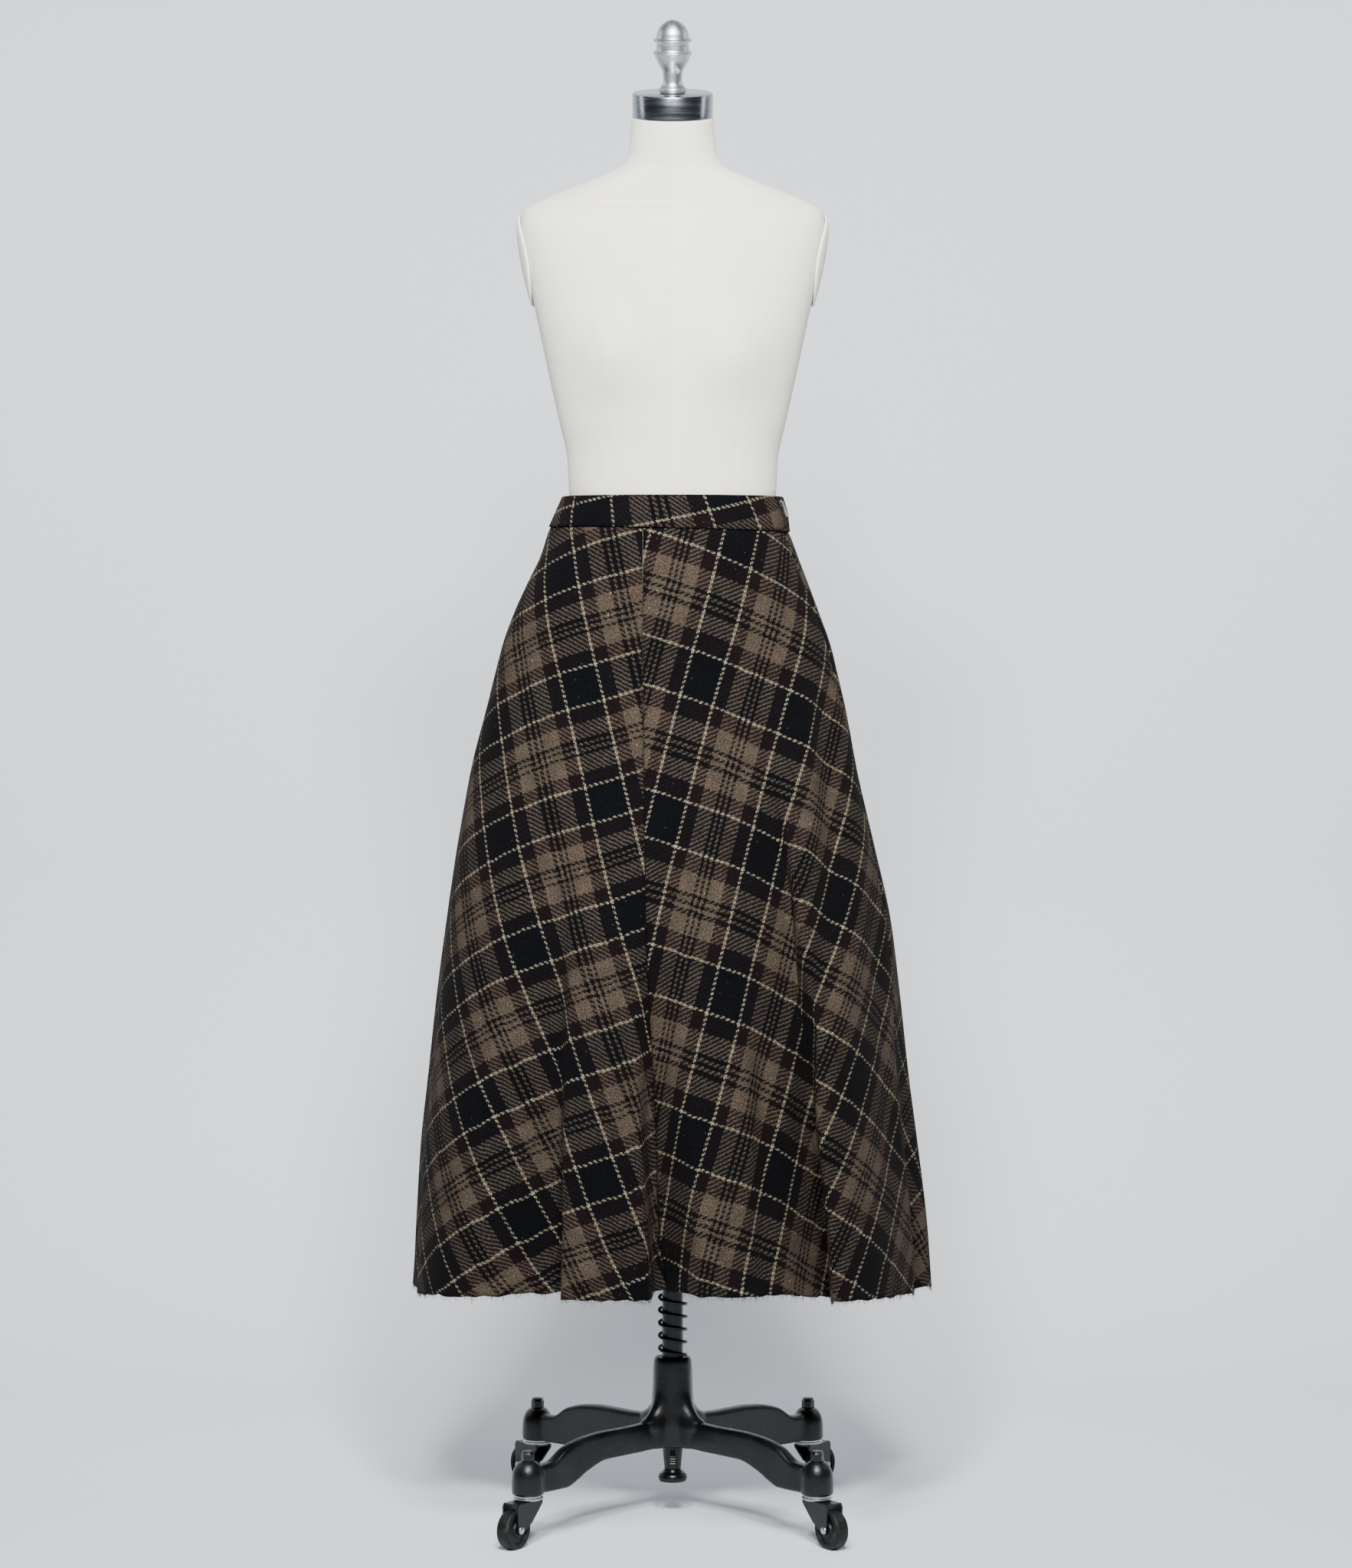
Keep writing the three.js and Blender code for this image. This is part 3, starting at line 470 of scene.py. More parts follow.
class Finish:
    """A material under construction, with short ways to add and join its nodes."""

    def __init__(self, name, roughness, metallic=0.0, specular=0.5):
        self.material = bpy.data.materials.new(name)
        self.material.use_nodes = True
        self.tree = self.material.node_tree
        self.shader = self.tree.nodes["Principled BSDF"]
        self.shader.inputs["Roughness"].default_value = roughness
        self.shader.inputs["Metallic"].default_value = metallic
        self.shader.inputs["Specular IOR Level"].default_value = specular

    def feed(self, socket, value):
        if isinstance(value, bpy.types.NodeSocket):
            self.tree.links.new(value, socket)
        elif isinstance(value, tuple) and len(value) == 3 and socket.type == "RGBA":
            socket.default_value = (*value, 1)
        else:
            socket.default_value = value

    def add(self, kind, inputs=None, **settings):
        made = self.tree.nodes.new("ShaderNode" + kind)
        for name, value in settings.items():
            setattr(made, name, value)
        for key, value in (inputs or {}).items():
            self.feed(made.inputs[key], value)
        return made

    def math(self, operation, *values):
        return self.add("Math", dict(enumerate(values)), operation=operation).outputs[0]

    def mix(self, share, first, second, blend="MIX"):
        made = self.add("Mix", {0: share, 6: first, 7: second}, data_type="RGBA", blend_type=blend)
        return made.outputs[2]

    def noise(self, where, scale, detail=3.0, roughness=0.55):
        inputs = {"Vector": where, "Scale": scale, "Detail": detail, "Roughness": roughness}
        return self.add("TexNoise", inputs).outputs["Fac"]

    def ramp(self, share, stops, interpolation="LINEAR"):
        made = self.add("ValToRGB", {0: share})
        ramp = made.color_ramp
        ramp.interpolation = interpolation
        while len(ramp.elements) < len(stops):
            ramp.elements.new(0.5)
        for element, (place, colour) in zip(ramp.elements, stops):
            element.position = place
            element.color = (*colour, 1) if isinstance(colour, tuple) else (colour, colour, colour, 1)
        return made.outputs[0]

    def between(self, value, low, high):
        """0 below low, 1 above high and smooth between."""
        made = self.add("MapRange", {0: value, 1: low, 2: high}, interpolation_type="SMOOTHSTEP")
        return made.outputs[0]

    def bump(self, height, distance, strength=1.0, after=None):
        made = self.add("Bump", {"Height": height, "Distance": distance, "Strength": strength})
        if after is not None:
            self.feed(made.inputs["Normal"], after)
        return made.outputs[0]

    def done(self, colour=None, roughness=None, normal=None):
        for name, value in (("Base Color", colour), ("Roughness", roughness), ("Normal", normal)):
            if value is not None:
                self.feed(self.shader.inputs[name], value)
        return self.material


def sett_stops(colours):
    """One repeat of the check: navy with faint lines, maroon, taupe, three dark lines in taupe,
    taupe, maroon. The cream lines at both ends of the navy are laid over it."""
    ground = 1 - NAVY_SHARE
    stops = [(0.0, colours.navy)]
    for at in NAVY_LINES:
        stops += [(at, colours.maroon_shade), (at + 0.012, colours.navy)]
    stops.append((NAVY_SHARE, colours.maroon))
    at = NAVY_SHARE + 0.19 * ground
    stops.append((at, colours.taupe))
    at += 0.21 * ground
    line = 0.04 * ground
    for _ in range(3):
        stops += [(at, colours.line), (at + line, colours.taupe)]
        at += 2 * line
    stops.append((NAVY_SHARE + 0.60 * ground, colours.taupe_deep))
    stops.append((NAVY_SHARE + 0.62 * ground, colours.taupe))
    stops.append((NAVY_SHARE + 0.81 * ground, colours.maroon))
    return [(place, tuple(colour)) for place, colour in stops]


def wool_finish(name, cloth):
    """Brushed wool in a check: a twill of coarse yarns, each over two and under two."""
    web = Finish(name, roughness=0.92, specular=0.06)
    check = web.add("UVMap", uv_map="check").outputs[0]
    thread = web.add("UVMap", uv_map="thread").outputs[0]
    yarns = web.add("SeparateXYZ", {0: web.add("UVMap", uv_map="yarns").outputs[0]})
    wobble = web.add("TexNoise", {"Vector": thread, "Scale": 380.0, "Detail": 2.0}).outputs["Color"]
    drift = web.add("VectorMath", {0: wobble, 1: (0.5, 0.5, 0.5)}, operation="SUBTRACT").outputs[0]
    small = web.add("VectorMath", {0: drift, "Scale": 0.019}, operation="SCALE").outputs[0]
    yarn = web.add("VectorMath", {0: check, 1: small}, operation="ADD").outputs[0]

    # Every yarn has one colour along its length
    apart = web.add("SeparateXYZ", {0: yarn})
    across, along = (web.math("MULTIPLY", apart.outputs[k], yarns.outputs[k]) for k in (0, 1))
    column, row = web.math("FLOOR", across), web.math("FLOOR", along)
    dyed = []
    for number, count in ((column, yarns.outputs[0]), (row, yarns.outputs[1])):
        place = web.math("FRACT", web.math("DIVIDE", web.math("ADD", number, 0.5), count))
        dye = web.ramp(place, sett_stops(cloth), "CONSTANT")
        for line in (0.0, NAVY_SHARE):
            away = web.math("MULTIPLY", web.math("PINGPONG", web.math("SUBTRACT", place, line), 0.5), count)
            dye = web.mix(web.math("LESS_THAN", away, cloth.cream_yarns / 2), dye, tuple(cloth.cream))
        dyed.append(dye)
    warp, weft = dyed

    # Each yarn arches over two others, a yarn further on than its neighbour. Its height makes the bump. It
    # also paints shade into the colour where the yarn dives under, and a painted highlight on its crown.
    warp_run = web.math("FLOORED_MODULO", web.math("ADD", column, along), 4.0)
    weft_run = web.math("FLOORED_MODULO", web.math("ADD", across, row), 4.0)
    warp_up = web.math("LESS_THAN", warp_run, 2.0)
    lifts = []
    for run, width, sign in ((weft_run, along, -math.pi / 2), (warp_run, across, math.pi / 2)):
        arch = web.math("SINE", web.math("MULTIPLY", run, sign))
        crown = web.math("MULTIPLY_ADD", web.math("PINGPONG", width, 0.5), 1.0, 0.5)
        lifts.append(web.math("MULTIPLY", arch, crown))
    lift = web.add("Mix", {0: warp_up, 2: lifts[0], 3: lifts[1]}, data_type="FLOAT").outputs[0]
    woven = web.mix(warp_up, weft, warp)
    felted = web.add("Gamma", {0: web.mix(1.0, weft, warp, "MULTIPLY"), 1: 0.5}).outputs[0]
    colour = web.mix(cloth.felting, woven, felted)
    # Painted shade and highlight: the float's height darkens the colour to 0.40 where it dives under and
    # lightens it to 1.25 on its crown
    colour = web.mix(1.0, colour, web.ramp(lift, [(0.0, 0.40), (1.0, 1.25)]), "MULTIPLY")

    # Heather: each yarn is spun from lighter and darker wool
    nap = web.noise(thread, 480.0, 4.0, 0.7)
    colour = web.mix(1.0, colour, web.ramp(nap, [(0.30, 0.36), (0.50, 0.95), (0.70, 2.2)]), "MULTIPLY")
    patch = web.ramp(web.noise(thread, 40.0, 4.0, 0.65), [(0.3, 0.78), (0.7, 1.20)])
    colour = web.mix(1.0, colour, patch, "MULTIPLY")

    # Pale neps, which are spun into the taupe yarn
    spots = web.add("TexVoronoi", {"Vector": thread, "Scale": 1 / 0.011, "Randomness": 1.0})
    fleck = web.between(spots.outputs["Distance"], 0.105, 0.05)
    kept = web.math("GREATER_THAN", web.add("SeparateXYZ", {0: spots.outputs["Color"]}).outputs[0], 0.42)
    pale = web.between(web.add("RGBToBW", {0: felted}).outputs[0], 0.006, 0.05)
    share = web.math("MULTIPLY", fleck, kept)
    share = web.math("MULTIPLY", share, web.math("MULTIPLY_ADD", pale, 0.65, 0.1))
    colour = web.mix(share, colour, tuple(cloth.fleck))

    relief = web.bump(lift, 0.0006, 0.7)
    relief = web.bump(nap, 0.0009, 0.8, relief)
    shader = web.shader.inputs
    shader["Sheen Weight"].default_value = 0.03
    shader["Sheen Roughness"].default_value = 0.55
    shader["Sheen Tint"].default_value = (*srgb(140, 126, 112), 1)
    return web.done(colour, None, relief)


def linen_finish(name, form):
    """Tightly woven cream cover, a little soiled by hands and age."""
    web = Finish(name, roughness=0.86, specular=0.2)
    place = web.add("TexCoord").outputs["Object"]
    thread = web.add("UVMap", uv_map="thread").outputs[0]
    shade = web.ramp(web.noise(place, 7.0, 4.0), [(0.32, 0.93), (0.68, 1.0)])
    colour = web.mix(1.0, tuple(form.cover_colour), shade, "MULTIPLY")
    grain = web.ramp(web.noise(thread, 900.0, 2.0), [(0.3, 0.93), (0.7, 1.03)])
    colour = web.mix(1.0, colour, grain, "MULTIPLY")
    apart = web.add("SeparateXYZ", {0: thread})
    waves = [web.math("SINE", web.math("MULTIPLY", apart.outputs[k], 2 * math.pi / 0.0009)) for k in (0, 1)]
    relief = web.bump(web.math("MULTIPLY", waves[0], waves[1]), 0.00012, 0.6)
    relief = web.bump(web.noise(place, 60.0, 4.0), 0.0006, 0.25, relief)
    web.shader.inputs["Sheen Weight"].default_value = 0.15
    return web.done(colour, None, relief)


def metal_finish(name, colour, roughness, stretch=(1.0, 1.0, 1.0), scale=60.0, depth=0.0001):
    """Bare metal with fine marks, drawn out by stretch where it was brushed or turned."""
    web = Finish(name, roughness=roughness, metallic=1.0)
    place = web.add("TexCoord").outputs["Object"]
    drawn = web.add("Mapping", {"Vector": place, "Scale": stretch}).outputs[0]
    marks = web.noise(drawn, scale, 5.0, 0.62)
    tone = web.mix(1.0, colour, web.ramp(marks, [(0.3, 0.82), (0.7, 1.08)]), "MULTIPLY")
    gloss = web.math("MULTIPLY_ADD", marks, 0.3, roughness - 0.15)
    return web.done(tone, gloss, web.bump(marks, depth, 0.6))


def enamel_finish(name, stand, rough=1.0, chips=0.5):
    """Black enamel over cast iron: pitted, duller where dust lies, grey at rubbed spots."""
    web = Finish(name, roughness=0.36, specular=0.32)
    place = web.add("TexCoord").outputs["Object"]
    pits = web.noise(place, 170.0, 4.0, 0.6)
    dust = web.noise(place, 26.0, 5.0, 0.65)
    rubbed = web.between(web.noise(place, 58.0, 6.0, 0.7), 0.74 - 0.08 * chips, 0.78)
    colour = web.mix(web.between(dust, 0.42, 0.75), tuple(stand.enamel), tuple(stand.enamel_dusty))
    colour = web.mix(web.math("MULTIPLY", rubbed, 0.55), colour, srgb(128, 128, 124))
    gloss = web.math("MULTIPLY_ADD", dust, 0.36, 0.16)
    relief = web.bump(pits, 0.0006 * rough, 0.55)
    relief = web.bump(dust, 0.0015 * rough, 0.3, relief)
    return web.done(colour, gloss, relief)


def rubber_finish(name):
    """Dark wheel rubber, scuffed and dusty."""
    web = Finish(name, roughness=0.55, specular=0.22)
    place = web.add("TexCoord").outputs["Object"]
    scuff = web.noise(place, 130.0, 5.0, 0.65)
    colour = web.mix(web.between(scuff, 0.5, 0.75), srgb(15, 16, 17), srgb(44, 44, 43))
    return web.done(colour, web.math("MULTIPLY_ADD", scuff, 0.4, 0.34), web.bump(scuff, 0.0003, 0.4))


def plaster_finish(name, stage):
    """Pale studio paper with the faintest unevenness."""
    web = Finish(name, roughness=0.9, specular=0.1)
    place = web.add("TexCoord").outputs["Object"]
    tone = web.ramp(web.noise(place, 0.7, 3.0), [(0.3, 0.985), (0.7, 1.0)])
    return web.done(web.mix(1.0, tuple(stage.paper), tone, "MULTIPLY"))


def material(name, make, *values, **settings):
    """The named material, made on first use."""
    return bpy.data.materials.get(name) or make(name, *values, **settings)


def bright_steel():
    return material("Bright steel", metal_finish, srgb(176, 176, 172), 0.34, scale=240.0)


# Cloth

def flute_push(turn, z):
    """How far the flutes push the cloth out and sideways at a height."""
    out, sway = np.zeros_like(turn), np.zeros_like(turn)
    for flute in FLUTES:
        if z >= flute["start"]:
            continue
        grown = ((flute["start"] - z) / (flute["start"] - HEM_Z)) ** FLUTE_GROWTH
        middle = flute["turn"] + flute["lean"] * (1 - grown)
        away = (turn - middle + 180) % 360 - 180
        x = away / np.where(away < 0, flute["before"], flute["after"])
        share = grown * np.where(np.abs(x) < 1, (1 + np.cos(np.pi * np.clip(x, -1, 1))) / 2, 0)
        out += flute["out"] * share
        sway += flute["sway"] * share
    return out, sway


def ring_at(z, reach, fluted):
    """One closed ring of cloth at a height, with the girth from the centre front seam."""
    columns = ("left", "right", "front", "back", "seam")
    left, right, front, back, seam = (float(reach[name](z)) for name in columns)
    half, deep = (left + right) / 2, (front + back) / 2
    turn = 360 * np.arange(RING_POINTS) / RING_POINTS
    s, c = np.sin(np.radians(turn)), np.cos(np.radians(turn))
    out, sway = flute_push(turn, z) if fluted else (0 * turn, 0 * turn)
    normal = np.stack([s / half, -c / deep], -1)
    normal /= np.linalg.norm(normal, axis=1, keepdims=True)
    along = np.stack([-normal[:, 1], normal[:, 0]], -1)
    points = np.stack([half * powered(s, SKIRT_POWER), -deep * powered(c, SKIRT_POWER)], -1)
    points += normal * out[:, None] + along * sway[:, None]
    low, high = points.min(0), points.max(0)
    points[:, 0] = -left + (points[:, 0] - low[0]) * (left + right) / (high[0] - low[0])
    points[:, 1] = -front + (points[:, 1] - low[1]) * (front + back) / (high[1] - low[1])
    closed = np.vstack([points, points[:1]])
    girth = np.concatenate([[0], np.cumsum(np.linalg.norm(np.diff(closed, axis=0), axis=1))])
    last = np.nonzero(points[:, 0] <= seam)[0][-1]
    share = (seam - closed[last, 0]) / (closed[last + 1, 0] - closed[last, 0])
    start = girth[last] + share * (girth[last + 1] - girth[last])
    return {"points": closed, "girth": girth, "start": start, "total": girth[-1]}


def on_ring(ring, shares):
    """Points of a ring by their share of its girth from the centre front seam."""
    at = (ring["start"] + shares * ring["total"]) % ring["total"]
    return np.stack([np.interp(at, ring["girth"], ring["points"][:, k]) for k in (0, 1)], -1)


SKIRT_REACH = curves_of(SKIRT, "z")
BAND_REACH = curves_of(BAND, "z")
FORM_REACH = curves_of(FORM, "z")


def panel_row(level, shares):
    """Outer face of the panels: level 0 at the waist seam, 1 at the hem."""
    z = WAIST_Z - SEAM_GAP - level * (WAIST_Z - SEAM_GAP - HEM_Z)
    flat = on_ring(ring_at(z, SKIRT_REACH, True), shares)
    front = np.maximum(0, -flat[:, 1]) / np.hypot(flat[:, 0], flat[:, 1])
    lift = level**2 * HEM_RISE * front + (1 - level) ** 6 * WAIST_TILT * flat[:, 0]
    return np.column_stack([flat, z + lift])


def band_row(level, shares):
    """Outer face of the waistband: level 0 at its top, 1 at the seam."""
    z = BAND_TOP_Z - level * (BAND_TOP_Z - WAIST_Z)
    flat = on_ring(ring_at(z, BAND_REACH, False), shares)
    return np.column_stack([flat, z + level * WAIST_TILT * flat[:, 0]])


def level_out(row):
    """The level direction straight out of the cloth along a row of points."""
    step = np.gradient(row, axis=0)
    normal = np.column_stack([step[:, 1], -step[:, 0], np.zeros(len(row))])
    return normal / np.linalg.norm(normal, axis=1, keepdims=True)


def crease_push(level, shares, girth):
    """How far the hand-placed creases push the cloth out along a row."""
    push = np.zeros_like(shares)
    for crease in CREASES:
        inside = smoothed(level, crease["first"], crease["first"] + 0.10)
        inside *= 1 - smoothed(level, crease["last"] - 0.16, crease["last"])
        middle = crease["share"] + crease["drift"] * (level - crease["first"])
        away = ((shares - middle + 0.5) % 1 - 0.5) * girth
        push += crease["depth"] * inside * np.exp(-((away / crease["wide"]) ** 2))
    return push


def check_layers(across, down, lay):
    """The uv grids of a piece, from its place in the flat pattern: its place in the repeat of the
    check, its place along the yarns in metres, and how many yarns make one repeat each way."""
    steep, flat = math.radians(lay["steep_lean"]), math.radians(lay["flat_drop"])
    p = across * math.cos(steep) + down * math.sin(steep)
    q = -across * math.sin(flat) + down * math.cos(flat)
    place = np.stack([p, q], -1)
    starts = np.array([lay["steep_start"], lay["flat_start"]])
    periods = np.array([lay["steep_period"], lay["flat_period"]])
    return {
        "check": (place - starts) / periods,
        "thread": place * MM,
        "yarns": np.broadcast_to(np.round(periods / YARN), place.shape),
    }


def shell(made, thickness):
    """Gives a sheet its thickness, inward."""
    wall = made.modifiers.new("Cloth", "SOLIDIFY")
    wall.thickness = thickness * MM
    wall.offset = -1
    return made


def hang_panel(lay, cloth):
    """One body panel, on the form of its solid, with creases and a seam at each side."""
    chance = np.random.default_rng(int(1000 * lay["first"]) + 7)
    grid, levels = [], np.linspace(0, 1, PANEL_ROWS + 1)
    spread = np.linspace(0, 1, PANEL_COLUMNS + 1)
    ragged = np.interp(spread, np.linspace(0, 1, 60), chance.normal(0, 1.0, 60))
    for level in levels:
        girth = WAIST_GIRTH + level * GIRTH_GROWTH
        trim = SEAM_GAP / 2 / girth
        shares = lay["first"] + trim + spread * (lay["last"] - lay["first"] - 2 * trim)
        beyond = np.concatenate([2 * shares[:1] - shares[1:2], shares, 2 * shares[-1:] - shares[-2:-1]])
        row = panel_row(level, beyond)
        out = level_out(row)[1:-1]
        edge = np.minimum(spread, 1 - spread) * girth / 4
        seam = cloth.seam_depth / MM * np.exp(-((edge / SEAM_WIDE) ** 2))
        turned_in = 1.2 * math.exp(-((level * CUT_LENGTH / 4) ** 2))
        push = cloth.crease_depth * crease_push(level, shares, girth) - seam - turned_in
        row = row[1:-1] + out * push[:, None]
        for dip in HEM_DIPS:
            away = (shares - dip["share"] + 0.5) % 1 - 0.5
            row[:, 2] -= dip["drop"] * smoothed(level, 0.85, 1.0) * np.exp(-((away / dip["wide"]) ** 2))
        if level > 0.99:
            row[:, 2] -= ragged * (level - 0.99) * 100
        grid.append(row)
    grid = np.array(grid)
    steps = np.linalg.norm(np.diff(grid, axis=0), axis=2)
    length = np.vstack([np.zeros(len(shares)), np.cumsum(steps, axis=0)])
    radius = CUT_RADIUS + CUT_LENGTH * length / length[-1]
    angle = np.radians(np.abs(shares - lay["middle"]) * CUT_FAN)[None]
    layers = check_layers(radius * np.sin(angle), radius * np.cos(angle), lay)
    made = shell(grid_object("skirt_" + lay["name"], grid, layers), CLOTH)
    return made, grid, layers


def fray_hem(lay, grid, layers, cloth):
    """Loose yarn ends along the raw hem, each a thin bent strand in the check's own colours."""
    chance = np.random.default_rng(int(1000 * lay["first"]) + 41)
    edge, above = grid[-1], grid[-2]
    out = level_out(edge)
    points, faces, uvs = [], [], {layer: [] for layer in layers}
    sides, joints = 3, 4
    for _ in range(cloth.fray_ends):
        at = chance.uniform(0, len(edge) - 1.001)
        k, s = int(at), at % 1
        root = edge[k] * (1 - s) + edge[k + 1] * s
        down = edge[k] - above[k]
        down /= np.linalg.norm(down)
        side = np.cross(out[k], down)
        long = cloth.fray_length / MM * chance.uniform(0.25, 1.0) ** 1.7
        lean = chance.normal(0, 0.55)
        curl = chance.normal(0, 0.7)
        depth = chance.uniform(0.2, CLOTH - 0.2)
        thick = chance.uniform(0.22, 0.42)
        first = len(points)
        for j in range(joints):
            t = j / (joints - 1)
            reach = long * t - 2.2
            swing = long * (lean * t + curl * t * t * 0.6)
            middle = root - out[k] * depth + down * reach + side * swing
            middle = middle + out[k] * chance.normal(0, 0.35) * t
            for a in range(sides):
                angle = 2 * math.pi * a / sides
                ring = side * math.cos(angle) + out[k] * math.sin(angle)
                points.append(middle + ring * thick * (1 - 0.7 * t))
        for j in range(joints - 1):
            for a in range(sides):
                b = (a + 1) % sides
                low, high = first + j * sides, first + (j + 1) * sides
                faces.append((low + a, low + b, high + b, high + a))
        faces.append(tuple(first + (joints - 1) * sides + a for a in range(sides)))
        faces.append(tuple(first + a for a in reversed(range(sides))))
        for layer, values in layers.items():
            value = values[-1, k] * (1 - s) + values[-1, k + 1] * s
            loops = 4 * sides * (joints - 1) + 2 * sides
            jitter = chance.normal(0, 0.0006 if layer == "thread" else 0.0, 2)
            uvs[layer] += [value + jitter] * loops
    return mesh_object("fray_" + lay["name"], points, faces, uvs)


def fold_band(name, first, last):
    """Half of the waistband, one cloth folded over at its top edge."""
    spread = np.linspace(0, 1, BAND_COLUMNS + 1)
    trim = SEAM_GAP / 2 / BAND_GIRTH
    shares = first + trim + spread * (last - first - 2 * trim)
    radius = BAND_CLOTH / 2
    tall = BAND_TOP_Z - WAIST_Z
    grid, down = [], []
    outer_rows = np.linspace(1, radius / tall, 12)
    for level in outer_rows:
        row = band_row(level, shares)
        swell = 0.5 * math.sin(math.pi * level)
        grid.append(row + level_out(row) * swell)
        down.append(-tall * (1 - level))
    top = band_row(radius / tall, shares)
    out = level_out(top)
    for angle in np.linspace(0, math.pi, 9)[1:-1]:
        lift = np.array([0, 0, math.sin(angle) * radius])
        grid.append(top - out * radius * (1 - math.cos(angle)) + lift)
        down.append(-tall - angle * radius)
    for level in outer_rows[::-1]:
        row = band_row(level, shares)
        grid.append(row - level_out(row) * BAND_CLOTH)
        down.append(-tall - math.pi * radius - tall * level)
    across = ((shares + 0.5) % 1 - 0.5) * BAND_GIRTH
    if first >= 0:
        across = (shares - 0.5) * BAND_GIRTH + BAND_GIRTH / 2
    size = (len(grid), len(shares))
    across = np.broadcast_to(across[None], size)
    height = np.broadcast_to(-np.array(down)[:, None], size)
    layers = {layer: values[::-1] for layer, values in check_layers(across, height, BAND_LAY).items()}
    return shell(grid_object(name, np.array(grid)[::-1], layers), BAND_CLOTH * 0.44)


# Dress form

def bust_at(x, z):
    across = (np.abs(x) - BUST["x"]) / BUST["wide"]
    up = (z - BUST["z"]) / BUST["tall"]
    return BUST["out"] * np.exp(-across * across - up * up)


def form_row(z, angle, inset=0.0):
    """One ring of the form's cover, leaning forward up the neck."""
    half, front, back, power = (float(FORM_REACH[k](z)) for k in ("half", "front", "back", "power"))
    s, c = np.sin(angle), np.cos(angle)
    x = (half - inset) * powered(s, power)
    y = np.where(c > 0, -(front - inset) * powered(c, power), -(back - inset) * powered(c, power))
    bust = np.where(c > 0, bust_at(x, z) * np.sqrt(np.maximum(c, 0)), 0)
    tilt = smoothed(z, NECK_Z, NECK_TOP_Z) * math.tan(HEAD_TILT)
    return np.column_stack([x, y - bust, z + (y - CAP["y"]) * tilt])


# Sewn lines of the cover: degrees from the front.
COVER_SEAMS = (0, 180, 90, 270, 34, 326, 146, 214)


def form_cover():
    """The torso under its sewn linen cover, closed below and at the neck."""
    segments, rows = 192, 230
    angle = circle(segments)
    heights = np.linspace(NECK_TOP_Z, FORM[0]["z"], rows)
    girth = [2 * math.pi * float(FORM_REACH["half"](z)) * 0.8 for z in heights]
    grid = []
    for z, round_it in zip(heights, girth):
        groove = np.zeros(segments)
        if z < NECK_Z - 6:
            for seam in COVER_SEAMS:
                away = (np.degrees(angle) - seam + 180) % 360 - 180
                groove += 0.7 * np.exp(-((away / 360 * round_it / 1.9) ** 2))
        for level in (NECK_Z - 4, 1214.0):
            groove += 0.9 * math.exp(-(((z - level) / 2.4) ** 2))
        row = form_row(z, angle)
        out = row - np.array([0, row[:, 1].mean(), 0])
        out[:, 2] = 0
        out /= np.linalg.norm(out, axis=1, keepdims=True)
        grid.append(row - out * np.minimum(groove, 1.2)[:, None])
    inner = [form_row(NECK_TOP_Z, angle, inset) for inset in (44, 30, 12, 3)]
    under = [form_row(FORM[0]["z"], angle, inset) for inset in (6, 30, 80)]
    points = np.array(inner + grid + under)
    turn = np.linspace(0, 1, segments + 1)
    sizes = np.array([400.0] * 4 + [2 * r for r in girth] + [1000.0] * 3)
    down = np.concatenate([[-44, -30, -12, -3], NECK_TOP_Z - heights, [757, 781, 831]])
    across = turn[None] * sizes[:, None]
    thread = np.stack([across, np.broadcast_to(down[:, None], across.shape)], -1)
    made = grid_object("form_cover", points, {"thread": thread * MM}, wrap=True)
    work = bmesh.new()
    work.from_mesh(made.data)
    edges = [e for e in work.edges if e.is_boundary]
    bmesh.ops.holes_fill(work, edges=edges, sides=0)
    bmesh.ops.recalc_face_normals(work, faces=work.faces)
    work.to_mesh(made.data)
    work.free()
    return made


def side_point(side, y, z):
    """The form's side face, by depth and height."""
    half, front, back, power = (FORM_REACH[k](z) for k in ("half", "front", "back", "power"))
    share = np.minimum(0.98, np.abs(y) / np.where(y < 0, front, back))
    return np.stack([side * half * (1 - share**power) ** (1 / power), y, z], -1)


def arm_plate(name, side):
    """The oval plate that closes an armhole: covered, domed, with a rolled edge."""
    around, rings = 96, 16
    angle = circle(around)
    stack = [(i / rings, 1.2) for i in range(1, rings + 1)]
    dome = ARM_PLATE["thick"] - ARM_PLATE["edge"]
    for share in 1 - (np.arange(0, rings * 2) / (rings * 2)) ** 1.5:
        edge = math.sqrt(max(0.0, 1 - max(0.0, (share - 0.94) / 0.06) ** 2))
        stack.append((share, 1.2 + ARM_PLATE["edge"] * edge + dome * (1 - share * share)))
    grid = []
    for share, out in stack:
        y = ARM_PLATE["y"] + share * ARM_PLATE["deep"] * np.cos(angle)
        z = ARM_PLATE["z"] + share * ARM_PLATE["tall"] * np.sin(angle)
        along = side_point(side, y + 0.5, z) - side_point(side, y - 0.5, z)
        up = side_point(side, y, z + 0.5) - side_point(side, y, z - 0.5)
        normal = np.cross(along, up)
        normal /= np.linalg.norm(normal, axis=1, keepdims=True)
        normal *= np.sign(normal[:, :1]) * side
        grid.append(side_point(side, y, z) + normal * out)
    grid.insert(0, np.broadcast_to(grid[0].mean(0), grid[0].shape))
    grid.append(np.broadcast_to(grid[-1].mean(0), grid[-1].shape))
    points = np.array(grid)
    flat = np.concatenate([points, points[:, :1]], axis=1)
    made = grid_object(name, points, {"thread": flat[:, :, 1:] * MM}, wrap=True)
    return close(made)


def head_frame():
    """The leaning axis of the neck's cap and finial."""
    return moved(0, CAP["y"], NECK_TOP_Z + CLEAR) @ Matrix.Rotation(HEAD_TILT, 4, "X")


# Stand

